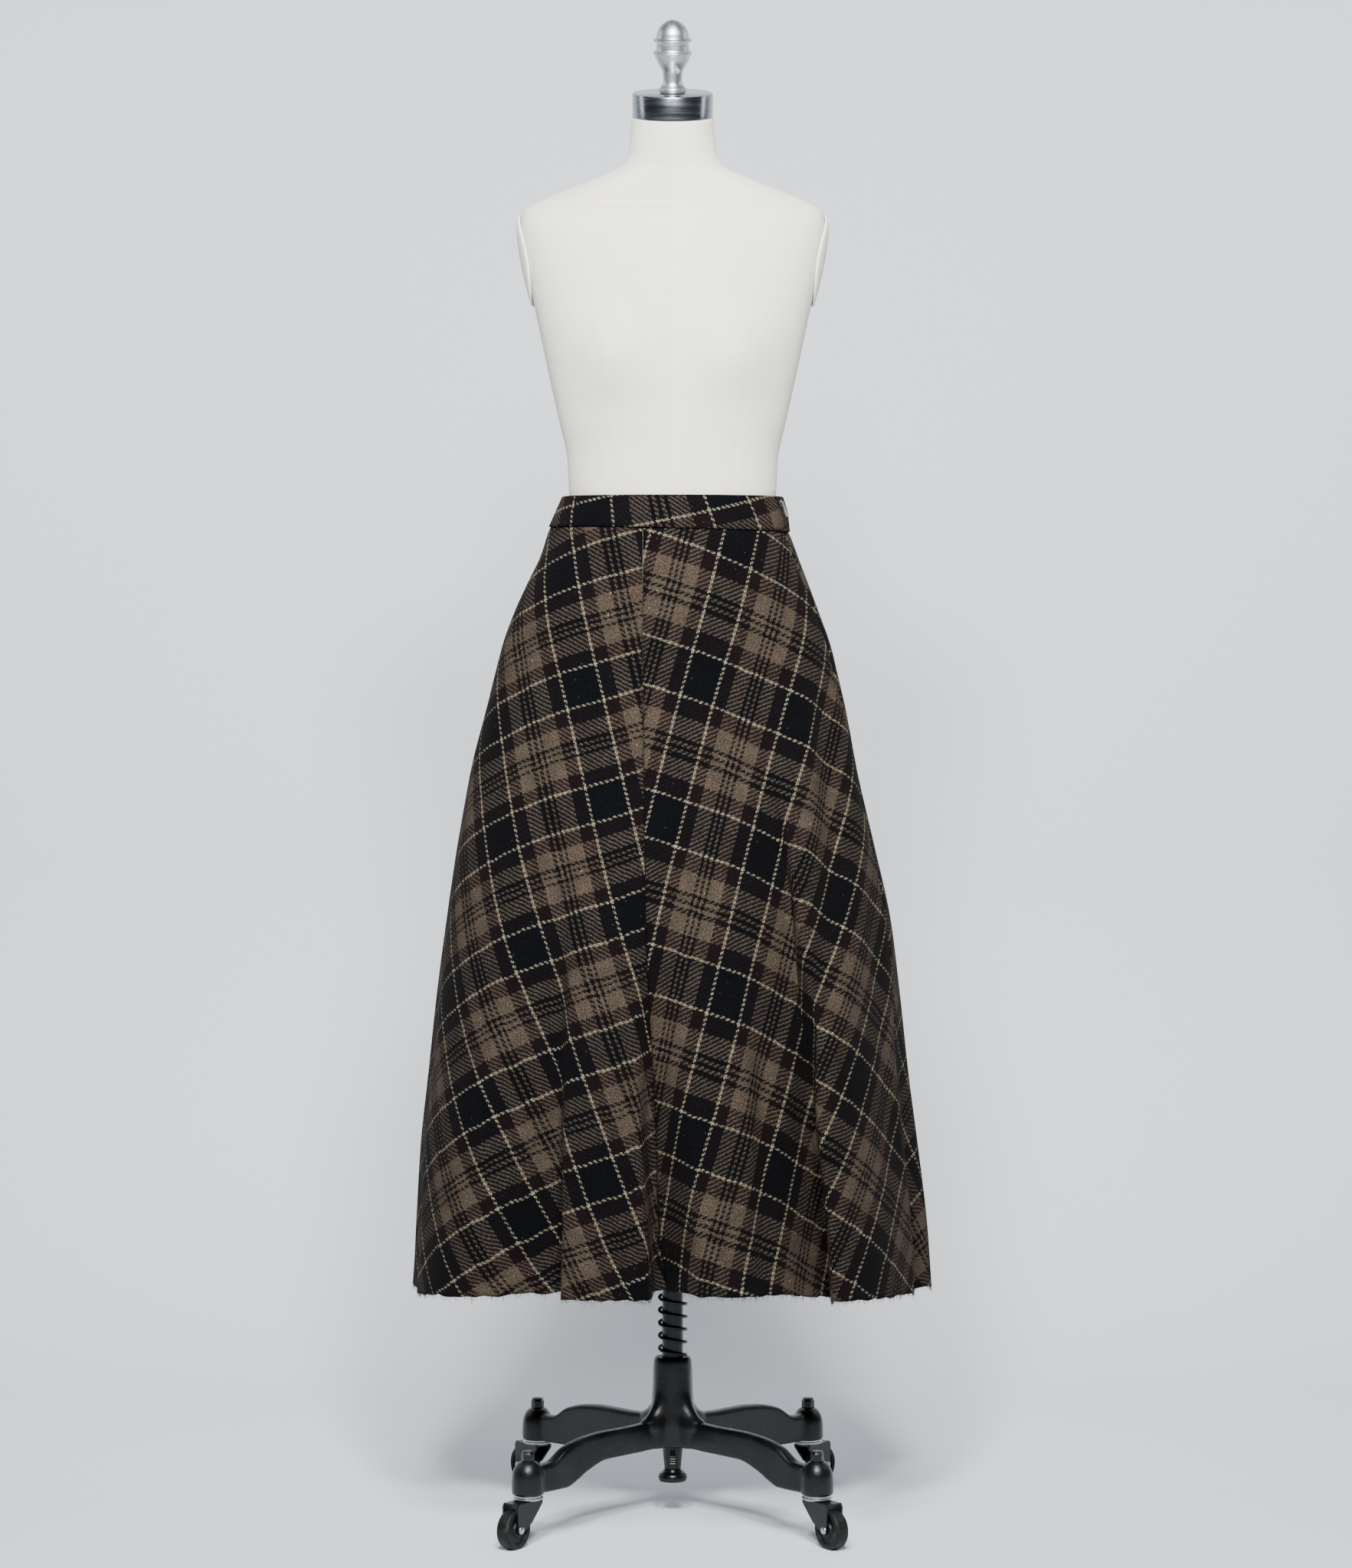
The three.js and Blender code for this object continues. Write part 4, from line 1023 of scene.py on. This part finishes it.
def leg_points(angle):
    """One leg out from the hub, as rings of a section with rounded edges."""
    reach = curves_of(LEG, "r")
    rings = []
    for r in np.linspace(LEG[0]["r"], LEG[-1]["r"], 60):
        top, bottom, wide = (float(reach[k](r)) for k in ("top", "bottom", "wide"))
        half = wide / 2
        section = []
        for cx, cz, start, radius in (
            (half - 4.5, top - 4.5, 0, 4.5), (-half + 4.5, top - 4.5, 90, 4.5),
            (-half + 1.8, bottom + 1.8, 180, 1.8), (half - 1.8, bottom + 1.8, 270, 1.8),
        ):
            for a in np.radians(start + np.linspace(0, 90, 6)):
                section.append((cx + radius * math.cos(a), cz + radius * math.sin(a)))
        y, z = np.array(section).T
        rings.append(np.column_stack([
            r * math.cos(angle) - y * math.sin(angle), r * math.sin(angle) + y * math.cos(angle), z,
        ]))
    ends = [np.broadcast_to(ring.mean(0), ring.shape) for ring in (rings[0], rings[-1])]
    return np.array([ends[0], *rings, ends[1]])


def hub_points():
    """The hub's outside, with a web towards each leg, and its stepped bore."""
    reach = curves_of(HUB, "z")
    angle = circle(HUB_SIDES)
    lobe = ((1 - np.cos(4 * angle)) / 2) ** 2
    rings = []
    for z in np.linspace(HUB_BOTTOM, HUB_TOP, 70):
        r = float(reach["core"](z)) + float(reach["lobe"](z)) * lobe
        rings.append(np.column_stack([r * np.cos(angle), r * np.sin(angle), np.full_like(angle, z)]))
    bore, thin = POST["r"] + RUNNING, ROD["r"] + RUNNING
    steps = [(bore, HUB_TOP), (bore, BORE_STEP_Z), (thin, BORE_STEP_Z), (thin, HUB_BOTTOM)]
    return np.array([*rings, *turned_points(steps, HUB_SIDES), rings[0]])


def casting():
    """Hub, legs and caster sockets cast in one, with the mould's soft corners."""
    parts = [close(grid_object("hub", hub_points(), wrap=True))]
    reach = CASTER_OUT * math.sqrt(2)
    for k in range(4):
        angle = math.pi / 4 + k * math.pi / 2
        parts.append(close(grid_object("leg", leg_points(angle), wrap=True)))
        place = moved(reach * math.cos(angle), reach * math.sin(angle), 0)
        parts.append(turned("socket", rounded(SOCKET, 4), 64, place))
    made = joined("base_iron", parts)
    union = made.modifiers.new("Union", "REMESH")
    union.mode = "VOXEL"
    union.voxel_size = 1.5 * MM
    union.use_smooth_shade = True
    soft = made.modifiers.new("Soft corners", "SMOOTH")
    soft.factor = 0.5
    soft.iterations = 6
    return applied(made)


def spring_wire():
    """The post's spring, one round wire with both ends closed."""
    around, sides = 28, 12
    rise = SPRING["top"] - SPRING["bottom"] - 2 * SPRING["wire"]
    turns = rise / SPRING["pitch"]
    count = int(turns * around)
    t = np.linspace(0, 1, count + 1)
    angle = -2 * np.pi * turns * t
    z = SPRING["bottom"] + SPRING["wire"] + rise * t
    centre = np.column_stack([SPRING["r"] * np.cos(angle), SPRING["r"] * np.sin(angle), z])
    out = np.column_stack([np.cos(angle), np.sin(angle), 0 * angle])
    side = circle(sides)[:, None]
    up = np.array([0, 0, 1.0])
    rings = []
    for i in range(len(t)):
        rings.append(centre[i] + SPRING["wire"] * (np.cos(side) * out[i] + np.sin(side) * up))
    ends = [np.broadcast_to(centre[i], rings[0].shape) for i in (0, -1)]
    return close(grid_object("coil_spring", np.array([ends[0], *rings, ends[1]]), wrap=True))


def caster_frame(caster):
    """Where a caster swivels, turned the way it trails."""
    place = moved(caster["x"] * CASTER_OUT, caster["y"] * CASTER_OUT, 0)
    return place @ Matrix.Rotation(math.atan2(caster["along"], caster["across"]), 4, "Z")


def ball_ring(name, radius, z, size, count, matrix):
    """The bearing's balls where they show between its races."""
    parts = []
    for k in range(count):
        angle = 2 * math.pi * k / count
        place = matrix @ moved(radius * math.cos(angle), radius * math.sin(angle), z)
        arc = [(size * math.sin(a), -size * math.cos(a)) for a in np.linspace(0, math.pi, 9)]
        parts.append(turned(name, arc, 12, place))
    return parts


def wheel_profile():
    """Half outline of a wheel: hub boss, dished web, rim and a rounded tread."""
    half, r, bore = WHEEL["wide"] / 2, WHEEL["r"], WHEEL["bore"]
    side = [
        (bore, half), (7.6, half), (8.4, half - 0.8),
        (9.2, half - 2.2), (15.2, half - 2.4), (16.4, half - 0.6),
    ]
    rim = [(r - 3 + 3 * math.sin(a), half - 3 + 3 * math.cos(a)) for a in np.linspace(0, math.pi / 2, 7)]
    top = side + rim
    return [(x, -z) for x, z in top] + [(x, z) for x, z in reversed(top)]


# Settings

COLOUR = {"subtype": "COLOR", "min": 0, "max": 1}


class SkirtSettings(bpy.types.PropertyGroup):
    """Cloth and colours of the skirt."""

    navy: FloatVectorProperty(
        name="Navy", description="Near-black yarn of the dark squares",
        default=srgb(3, 5, 9), **COLOUR)
    maroon_shade: FloatVectorProperty(
        name="Navy line", description="Faint brown lines inside the dark squares",
        default=srgb(9, 7, 8), **COLOUR)
    maroon: FloatVectorProperty(
        name="Maroon", description="Dark brown-red yarn beside the cream threads",
        default=srgb(16, 9, 11), **COLOUR)
    taupe: FloatVectorProperty(
        name="Taupe", description="Light yarn of the ground",
        default=srgb(68, 59, 50), **COLOUR)
    taupe_deep: FloatVectorProperty(
        name="Deep taupe", description="Light yarn where it meets the dark lines",
        default=srgb(59, 51, 43), **COLOUR)
    line: FloatVectorProperty(
        name="Line", description="The three dark lines across the light ground",
        default=srgb(6, 6, 7), **COLOUR)
    cream: FloatVectorProperty(
        name="Cream", description="Cream thread of the windowpane",
        default=srgb(121, 115, 95), **COLOUR)
    fleck: FloatVectorProperty(
        name="Fleck", description="Pale flecks in the wool",
        default=srgb(139, 133, 119), **COLOUR)
    cream_yarns: FloatProperty(
        name="Cream width", description="How many yarns make a cream line",
        default=2.0, min=1, max=6)
    felting: FloatProperty(
        name="Felting", description="How far the nap blurs the weave",
        default=0.34, min=0, max=1, subtype="FACTOR")
    seam_depth: FloatProperty(
        name="Seam depth", description="How far a seam draws the cloth in",
        default=0.0018, min=0, max=0.006, unit="LENGTH")
    crease_depth: FloatProperty(
        name="Creases", description="Strength of the soft creases",
        default=1.0, min=0, max=2)
    fray_length: FloatProperty(
        name="Fray", description="Longest loose yarn at the raw hem",
        default=0.0095, min=0.001, max=0.03, unit="LENGTH")
    fray_ends: IntProperty(
        name="Fray ends", description="Loose yarns on one panel's hem",
        default=620, min=0, max=3000)


class FormSettings(bpy.types.PropertyGroup):
    """Finish of the dress form."""

    cover_colour: FloatVectorProperty(
        name="Cover", description="Colour of the linen cover",
        default=srgb(238, 236, 224), **COLOUR)


class StandSettings(bpy.types.PropertyGroup):
    """Finish of the iron stand."""

    enamel: FloatVectorProperty(
        name="Enamel", description="Colour of the black enamel",
        default=srgb(5, 6, 8), **COLOUR)
    enamel_dusty: FloatVectorProperty(
        name="Dusty enamel", description="Enamel where dust lies",
        default=srgb(18, 21, 24), **COLOUR)


class StageSettings(bpy.types.PropertyGroup):
    """Studio round the object."""

    paper: FloatVectorProperty(
        name="Paper", description="Colour of the floor and wall",
        default=srgb(222, 226, 232), **COLOUR)
    key_power: FloatProperty(
        name="High light", description="Power of the high soft light in front",
        default=34.0, min=0, unit="POWER")
    fill_power: FloatProperty(
        name="Side lights", description="Power of each of the two lights in front",
        default=116.0, min=0, unit="POWER")
    paper_power: FloatProperty(
        name="Paper lights", description="Power of each of the two lights on the paper",
        default=10.0, min=0, unit="POWER")
    air: FloatProperty(
        name="Ambient", description="Strength of the even light of the room",
        default=0.09, min=0, max=5)
    wall_depth: FloatProperty(
        name="Wall", description="How far the paper's wall stands behind the object",
        default=1.5, min=0.5, max=5, unit="LENGTH")


# Operators

class SKIRT_OT_stage(bpy.types.Operator):
    """Sets up the camera, the pale paper sweep and the soft lights"""

    bl_idname = "skirt.stage"
    bl_label = "Stage"

    def execute(self, context):
        stage = context.scene.skirt_stage
        camera = bpy.data.cameras.new("Camera")
        camera.lens = CAMERA_LENS
        camera.clip_start, camera.clip_end = 0.1, 60
        eye = bpy.data.objects.new("Camera", camera)
        eye.location = CAMERA_PLACE
        eye.rotation_euler = (math.pi / 2 - CAMERA_PITCH, 0, 0)
        context.scene.collection.objects.link(eye)
        context.scene.camera = eye

        wide, front, tall, bend = 9000.0, -9000.0, 5200.0, 700.0
        wall = stage.wall_depth / MM
        line = [(front, 0.0), (-1500.0, 0.0)]
        for a in np.linspace(0, math.pi / 2, 24):
            line.append((wall - bend + bend * math.sin(a), bend - bend * math.cos(a)))
        line.append((wall, tall))
        grid = np.array([[(x, y, z) for x in np.linspace(wide, -wide, 9)] for y, z in line])
        sweep = grid_object("paper_sweep", grid)
        sweep.data.materials.append(material("Studio paper", plaster_finish, stage))

        lights = (
            ("High soft light", (0.0, -1.9, 3.0), (0.0, 0.0, 1.5), (0.8, 0.6), 100, stage.key_power),
            ("Left light", (-0.36, -2.9, 2.6), (0.0, 0.0, 0.8), (0.4, 0.4), 180, stage.fill_power),
            ("Right light", (0.36, -2.9, 2.6), (0.0, 0.0, 0.8), (0.4, 0.4), 180, stage.fill_power),
            ("Left paper light", (-2.4, 0.4, 2.3), (-0.3, 1.6, 1.3), (0.5, 1.8), 110, stage.paper_power),
            ("Right paper light", (2.4, 0.4, 2.3), (0.3, 1.6, 1.3), (0.5, 1.8), 110, stage.paper_power),
        )
        for name, place, aim, size, spread, power in lights:
            lamp = bpy.data.lights.new(name, "AREA")
            lamp.shape = "RECTANGLE"
            lamp.size, lamp.size_y = size
            lamp.energy = power
            lamp.spread = math.radians(spread)
            lamp.color = (1.0, 0.99, 0.975)
            holder = bpy.data.objects.new(name, lamp)
            holder.location = place
            holder.rotation_euler = (Vector(aim) - Vector(place)).to_track_quat("-Z", "Y").to_euler()
            context.scene.collection.objects.link(holder)

        world = bpy.data.worlds.new("Studio air")
        world.use_nodes = True
        air = world.node_tree.nodes["Background"].inputs
        air["Color"].default_value = (*srgb(228, 233, 242), 1)
        air["Strength"].default_value = stage.air
        context.scene.world = world
        return {"FINISHED"}


class SKIRT_OT_panels(bpy.types.Operator):
    """Hangs the four body panels and frays their raw hem"""

    bl_idname = "skirt.panels"
    bl_label = "Skirt panels"

    def execute(self, context):
        cloth = context.scene.skirt_cloth
        wool = material("Wool check", wool_finish, cloth)
        for lay in LAYS:
            node = "panel_" + lay["name"]
            made, grid, layers = hang_panel(lay, cloth)
            finished(made, wool, "form", [node])
            fray = finished(fray_hem(lay, grid, layers, cloth), wool, "form")
        return {"FINISHED"}


class SKIRT_OT_waistband(bpy.types.Operator):
    """Folds the waistband's front and back pieces"""

    bl_idname = "skirt.waistband"
    bl_label = "Waistband"

    def execute(self, context):
        cloth = context.scene.skirt_cloth
        wool = material("Wool check", wool_finish, cloth)
        for side, first, last in (("front", -0.25, 0.25), ("back", 0.25, 0.75)):
            made = fold_band("band_" + side, first, last)
            finished(made, wool, "form", ["waistband_" + side])
        return {"FINISHED"}


class SKIRT_OT_zip(bpy.types.Operator):
    """Finishes the zip's slider and pull tab"""

    bl_idname = "skirt.zip"
    bl_label = "Zip"

    def execute(self, context):
        bright = bright_steel()
        for name in ("zip_slider", "zip_pull"):
            dressed(name, bright, 0.35)
        return {"FINISHED"}


class SKIRT_OT_form(bpy.types.Operator):
    """Builds the linen-covered torso and its two armhole plates"""

    bl_idname = "skirt.form"
    bl_label = "Dress form"

    def execute(self, context):
        form = context.scene.skirt_form
        linen = material("Linen cover", linen_finish, form)
        finished(form_cover(), linen, "form", ["form_torso"])
        for name, side in (("left", 1), ("right", -1)):
            node = "arm_plate_" + name
            finished(arm_plate("armhole_plate_" + name, side), linen, "form", [node])
        return {"FINISHED"}


class SKIRT_OT_finial(bpy.types.Operator):
    """Builds the neck's steel cap, the turned finial and its thumb screw"""

    bl_idname = "skirt.finial"
    bl_label = "Cap and finial"

    def execute(self, context):
        head = head_frame()
        up = head @ moved(0, 0, CAP["height"] + CLEAR)
        steel = material("Cap steel", metal_finish, srgb(142, 148, 156), 0.24,
                         stretch=(2.0, 2.0, 40.0), scale=8.0, depth=0.00003)
        cast = material("Finial metal", metal_finish, srgb(196, 199, 203), 0.40, scale=90.0)
        r, tall = CAP["radius"], CAP["height"]
        brim = [
            (0, 0), (r - 0.5, 0), (r, 0.5), (r, tall - 1.6),
            (r - 0.5, tall - 0.5), (r - 1.6, tall), (0, tall),
        ]
        finished(turned("cap_ring", brim, 128, head, crisp=40), steel, "form", ["neck_cap"])
        knob = turned("turned_finial", rounded(FINIAL), 96, up, crisp=60)
        finished(knob, cast, "form", ["finial"])
        screw = KNOB_SCREW
        rows = [(0, 0), (screw["stem"], 0), (screw["stem"], 5), (screw["r"] - 0.5, 5.4), (screw["r"], 6.1),
                (screw["r"], 8.3), (screw["r"] - 0.6, 9.0), (0, 9.4)]
        place = up @ moved(screw["x"], screw["y"], screw["z"])
        place = place @ Matrix.Rotation(math.pi / 2, 4, "X")
        made = turned("thumb_screw", rows, 40, place)
        finished(made, cast, "form", ["finial_screw"])
        return {"FINISHED"}


class SKIRT_OT_post(bpy.types.Operator):
    """Builds the post, its flange, collar, spring, rod, sleeve and foot"""

    bl_idname = "skirt.post"
    bl_label = "Post and spring"

    def execute(self, context):
        stand = context.scene.skirt_stand
        enamel = material("Black enamel", enamel_finish, stand, 0.5, 0.3)
        r = POST["r"]
        flange, collar = TOP_FLANGE, COLLAR
        inside = r + CLEAR
        low = SPRING["top"] + CLEAR
        profiles = (
            ("post_tube", "post", [
                (0, POST["bottom"]), (r - 0.8, POST["bottom"]), (r, POST["bottom"] + 0.8),
                (r, POST["top"]), (0, POST["top"]),
            ]),
            ("flange_plate", "top_flange", [
                (0, flange["bottom"]), (flange["hub"], flange["bottom"]),
                (flange["hub"] + 4, flange["shelf"]), (flange["r"] - 1, flange["shelf"]),
                (flange["r"], flange["shelf"] + 1), (flange["r"], flange["top"]), (0, flange["top"]),
            ]),
            ("collar_ring", "spring_collar", [
                (inside, low), (collar["r"] - 1.5, low), (collar["r"], low + 1.5),
                (collar["r"], collar["top"] - 1.5), (collar["r"] - 1.5, collar["top"]),
                (inside, collar["top"]),
            ]),
            ("rod_end", "rod_foot", rounded(FOOT, 4)),
        )
        for name, node, profile in profiles:
            finished(turned(name, profile, 72), enamel, "form", [node])
        for name in ("height_rod", "rod_sleeve"):
            dressed(name, enamel)
        coil = finished(spring_wire(), enamel, "stand", ["spring"])
        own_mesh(coil)
        return {"FINISHED"}


class SKIRT_OT_base(bpy.types.Operator):
    """Casts the four-legged iron base"""

    bl_idname = "skirt.base"
    bl_label = "Cast base"

    def execute(self, context):
        stand = context.scene.skirt_stand
        iron = material("Enamelled iron", enamel_finish, stand, 1.0, 0.8)
        finished(casting(), iron, "stand", ["base_casting"])
        return {"FINISHED"}


class SKIRT_OT_casters(bpy.types.Operator):
    """Builds the four casters: nut, bearing, fork, wheel and axle"""

    bl_idname = "skirt.casters"
    bl_label = "Casters"

    def execute(self, context):
        stand = context.scene.skirt_stand
        enamel = material("Black enamel", enamel_finish, stand, 0.5, 0.3)
        bright = bright_steel()
        rubber = material("Wheel rubber", rubber_finish)
        half = WHEEL["wide"] / 2 + FORK["clear"] + FORK["cheek"] + CLEAR
        head, thick, r = AXLE["head"], AXLE["thick"], AXLE["r"]
        end = [
            (0, half + thick), (head - 1.6, half + thick - 0.1),
            (head - 0.5, half + thick * 0.6), (head, half),
        ]
        axle_rows = [(x, -z) for x, z in end] + [(r, -half), (r, half)] + [(x, z) for x, z in reversed(end)]
        for caster in CASTERS:
            name = caster["name"]
            place = caster_frame(caster)
            nut = turned("nut_" + name, NUT, 6, place, crisp=20)
            finished(bevel(nut, 0.5), enamel, "stand", ["stem_nut_" + name])
            balls = ball_ring("ball", 15.4, 57.4, 0.9, 18, place)
            race = joined("race_" + name, [turned("race", RACE, 64, place), *balls])
            finished(race, bright, "stand", ["bearing_" + name])
            dressed("fork_" + name, enamel, 0.5)
            hub = place @ moved(FORK["trail"], 0, WHEEL["r"])
            hub = hub @ Matrix.Rotation(math.pi / 2, 4, "X")
            wheel = turned("rubber_wheel_" + name, wheel_profile(), 96, hub)
            finished(wheel, rubber, "roller_" + name, ["wheel_" + name])
            axle = turned("pin_" + name, axle_rows, 40, hub)
            finished(axle, bright, "swivel_" + name, ["axle_" + name])
        return {"FINISHED"}


class SKIRT_PT_panel(bpy.types.Panel):
    """Lists the skirt's settings and the operators that build it"""

    bl_idname = "SKIRT_PT_panel"
    bl_label = "Skirt on a dress form"
    bl_space_type = "VIEW_3D"
    bl_region_type = "UI"
    bl_category = "Skirt"

    def draw(self, context):
        for settings in ("skirt_cloth", "skirt_form", "skirt_stand", "skirt_stage"):
            box = self.layout.box()
            group = getattr(context.scene, settings)
            for name in group.__annotations__:
                box.prop(group, name)
        for operator in OPERATORS:
            self.layout.operator(operator.bl_idname)


SETTINGS = {
    "skirt_cloth": SkirtSettings,
    "skirt_form": FormSettings,
    "skirt_stand": StandSettings,
    "skirt_stage": StageSettings,
}
OPERATORS = (
    SKIRT_OT_stage,
    SKIRT_OT_form,
    SKIRT_OT_panels,
    SKIRT_OT_waistband,
    SKIRT_OT_zip,
    SKIRT_OT_finial,
    SKIRT_OT_post,
    SKIRT_OT_base,
    SKIRT_OT_casters,
)


def register():
    for made in (*SETTINGS.values(), *OPERATORS, SKIRT_PT_panel):
        bpy.utils.register_class(made)
    for name, group in SETTINGS.items():
        setattr(bpy.types.Scene, name, PointerProperty(type=group))


def unregister():
    for name in SETTINGS:
        delattr(bpy.types.Scene, name)
    for made in reversed((*SETTINGS.values(), *OPERATORS, SKIRT_PT_panel)):
        bpy.utils.unregister_class(made)


def main():
    register()
    for name in ("stage", "form", "panels", "waistband", "zip", "finial", "post", "base", "casters"):
        getattr(bpy.ops.skirt, name)()


if __name__ == "__main__":
    main()
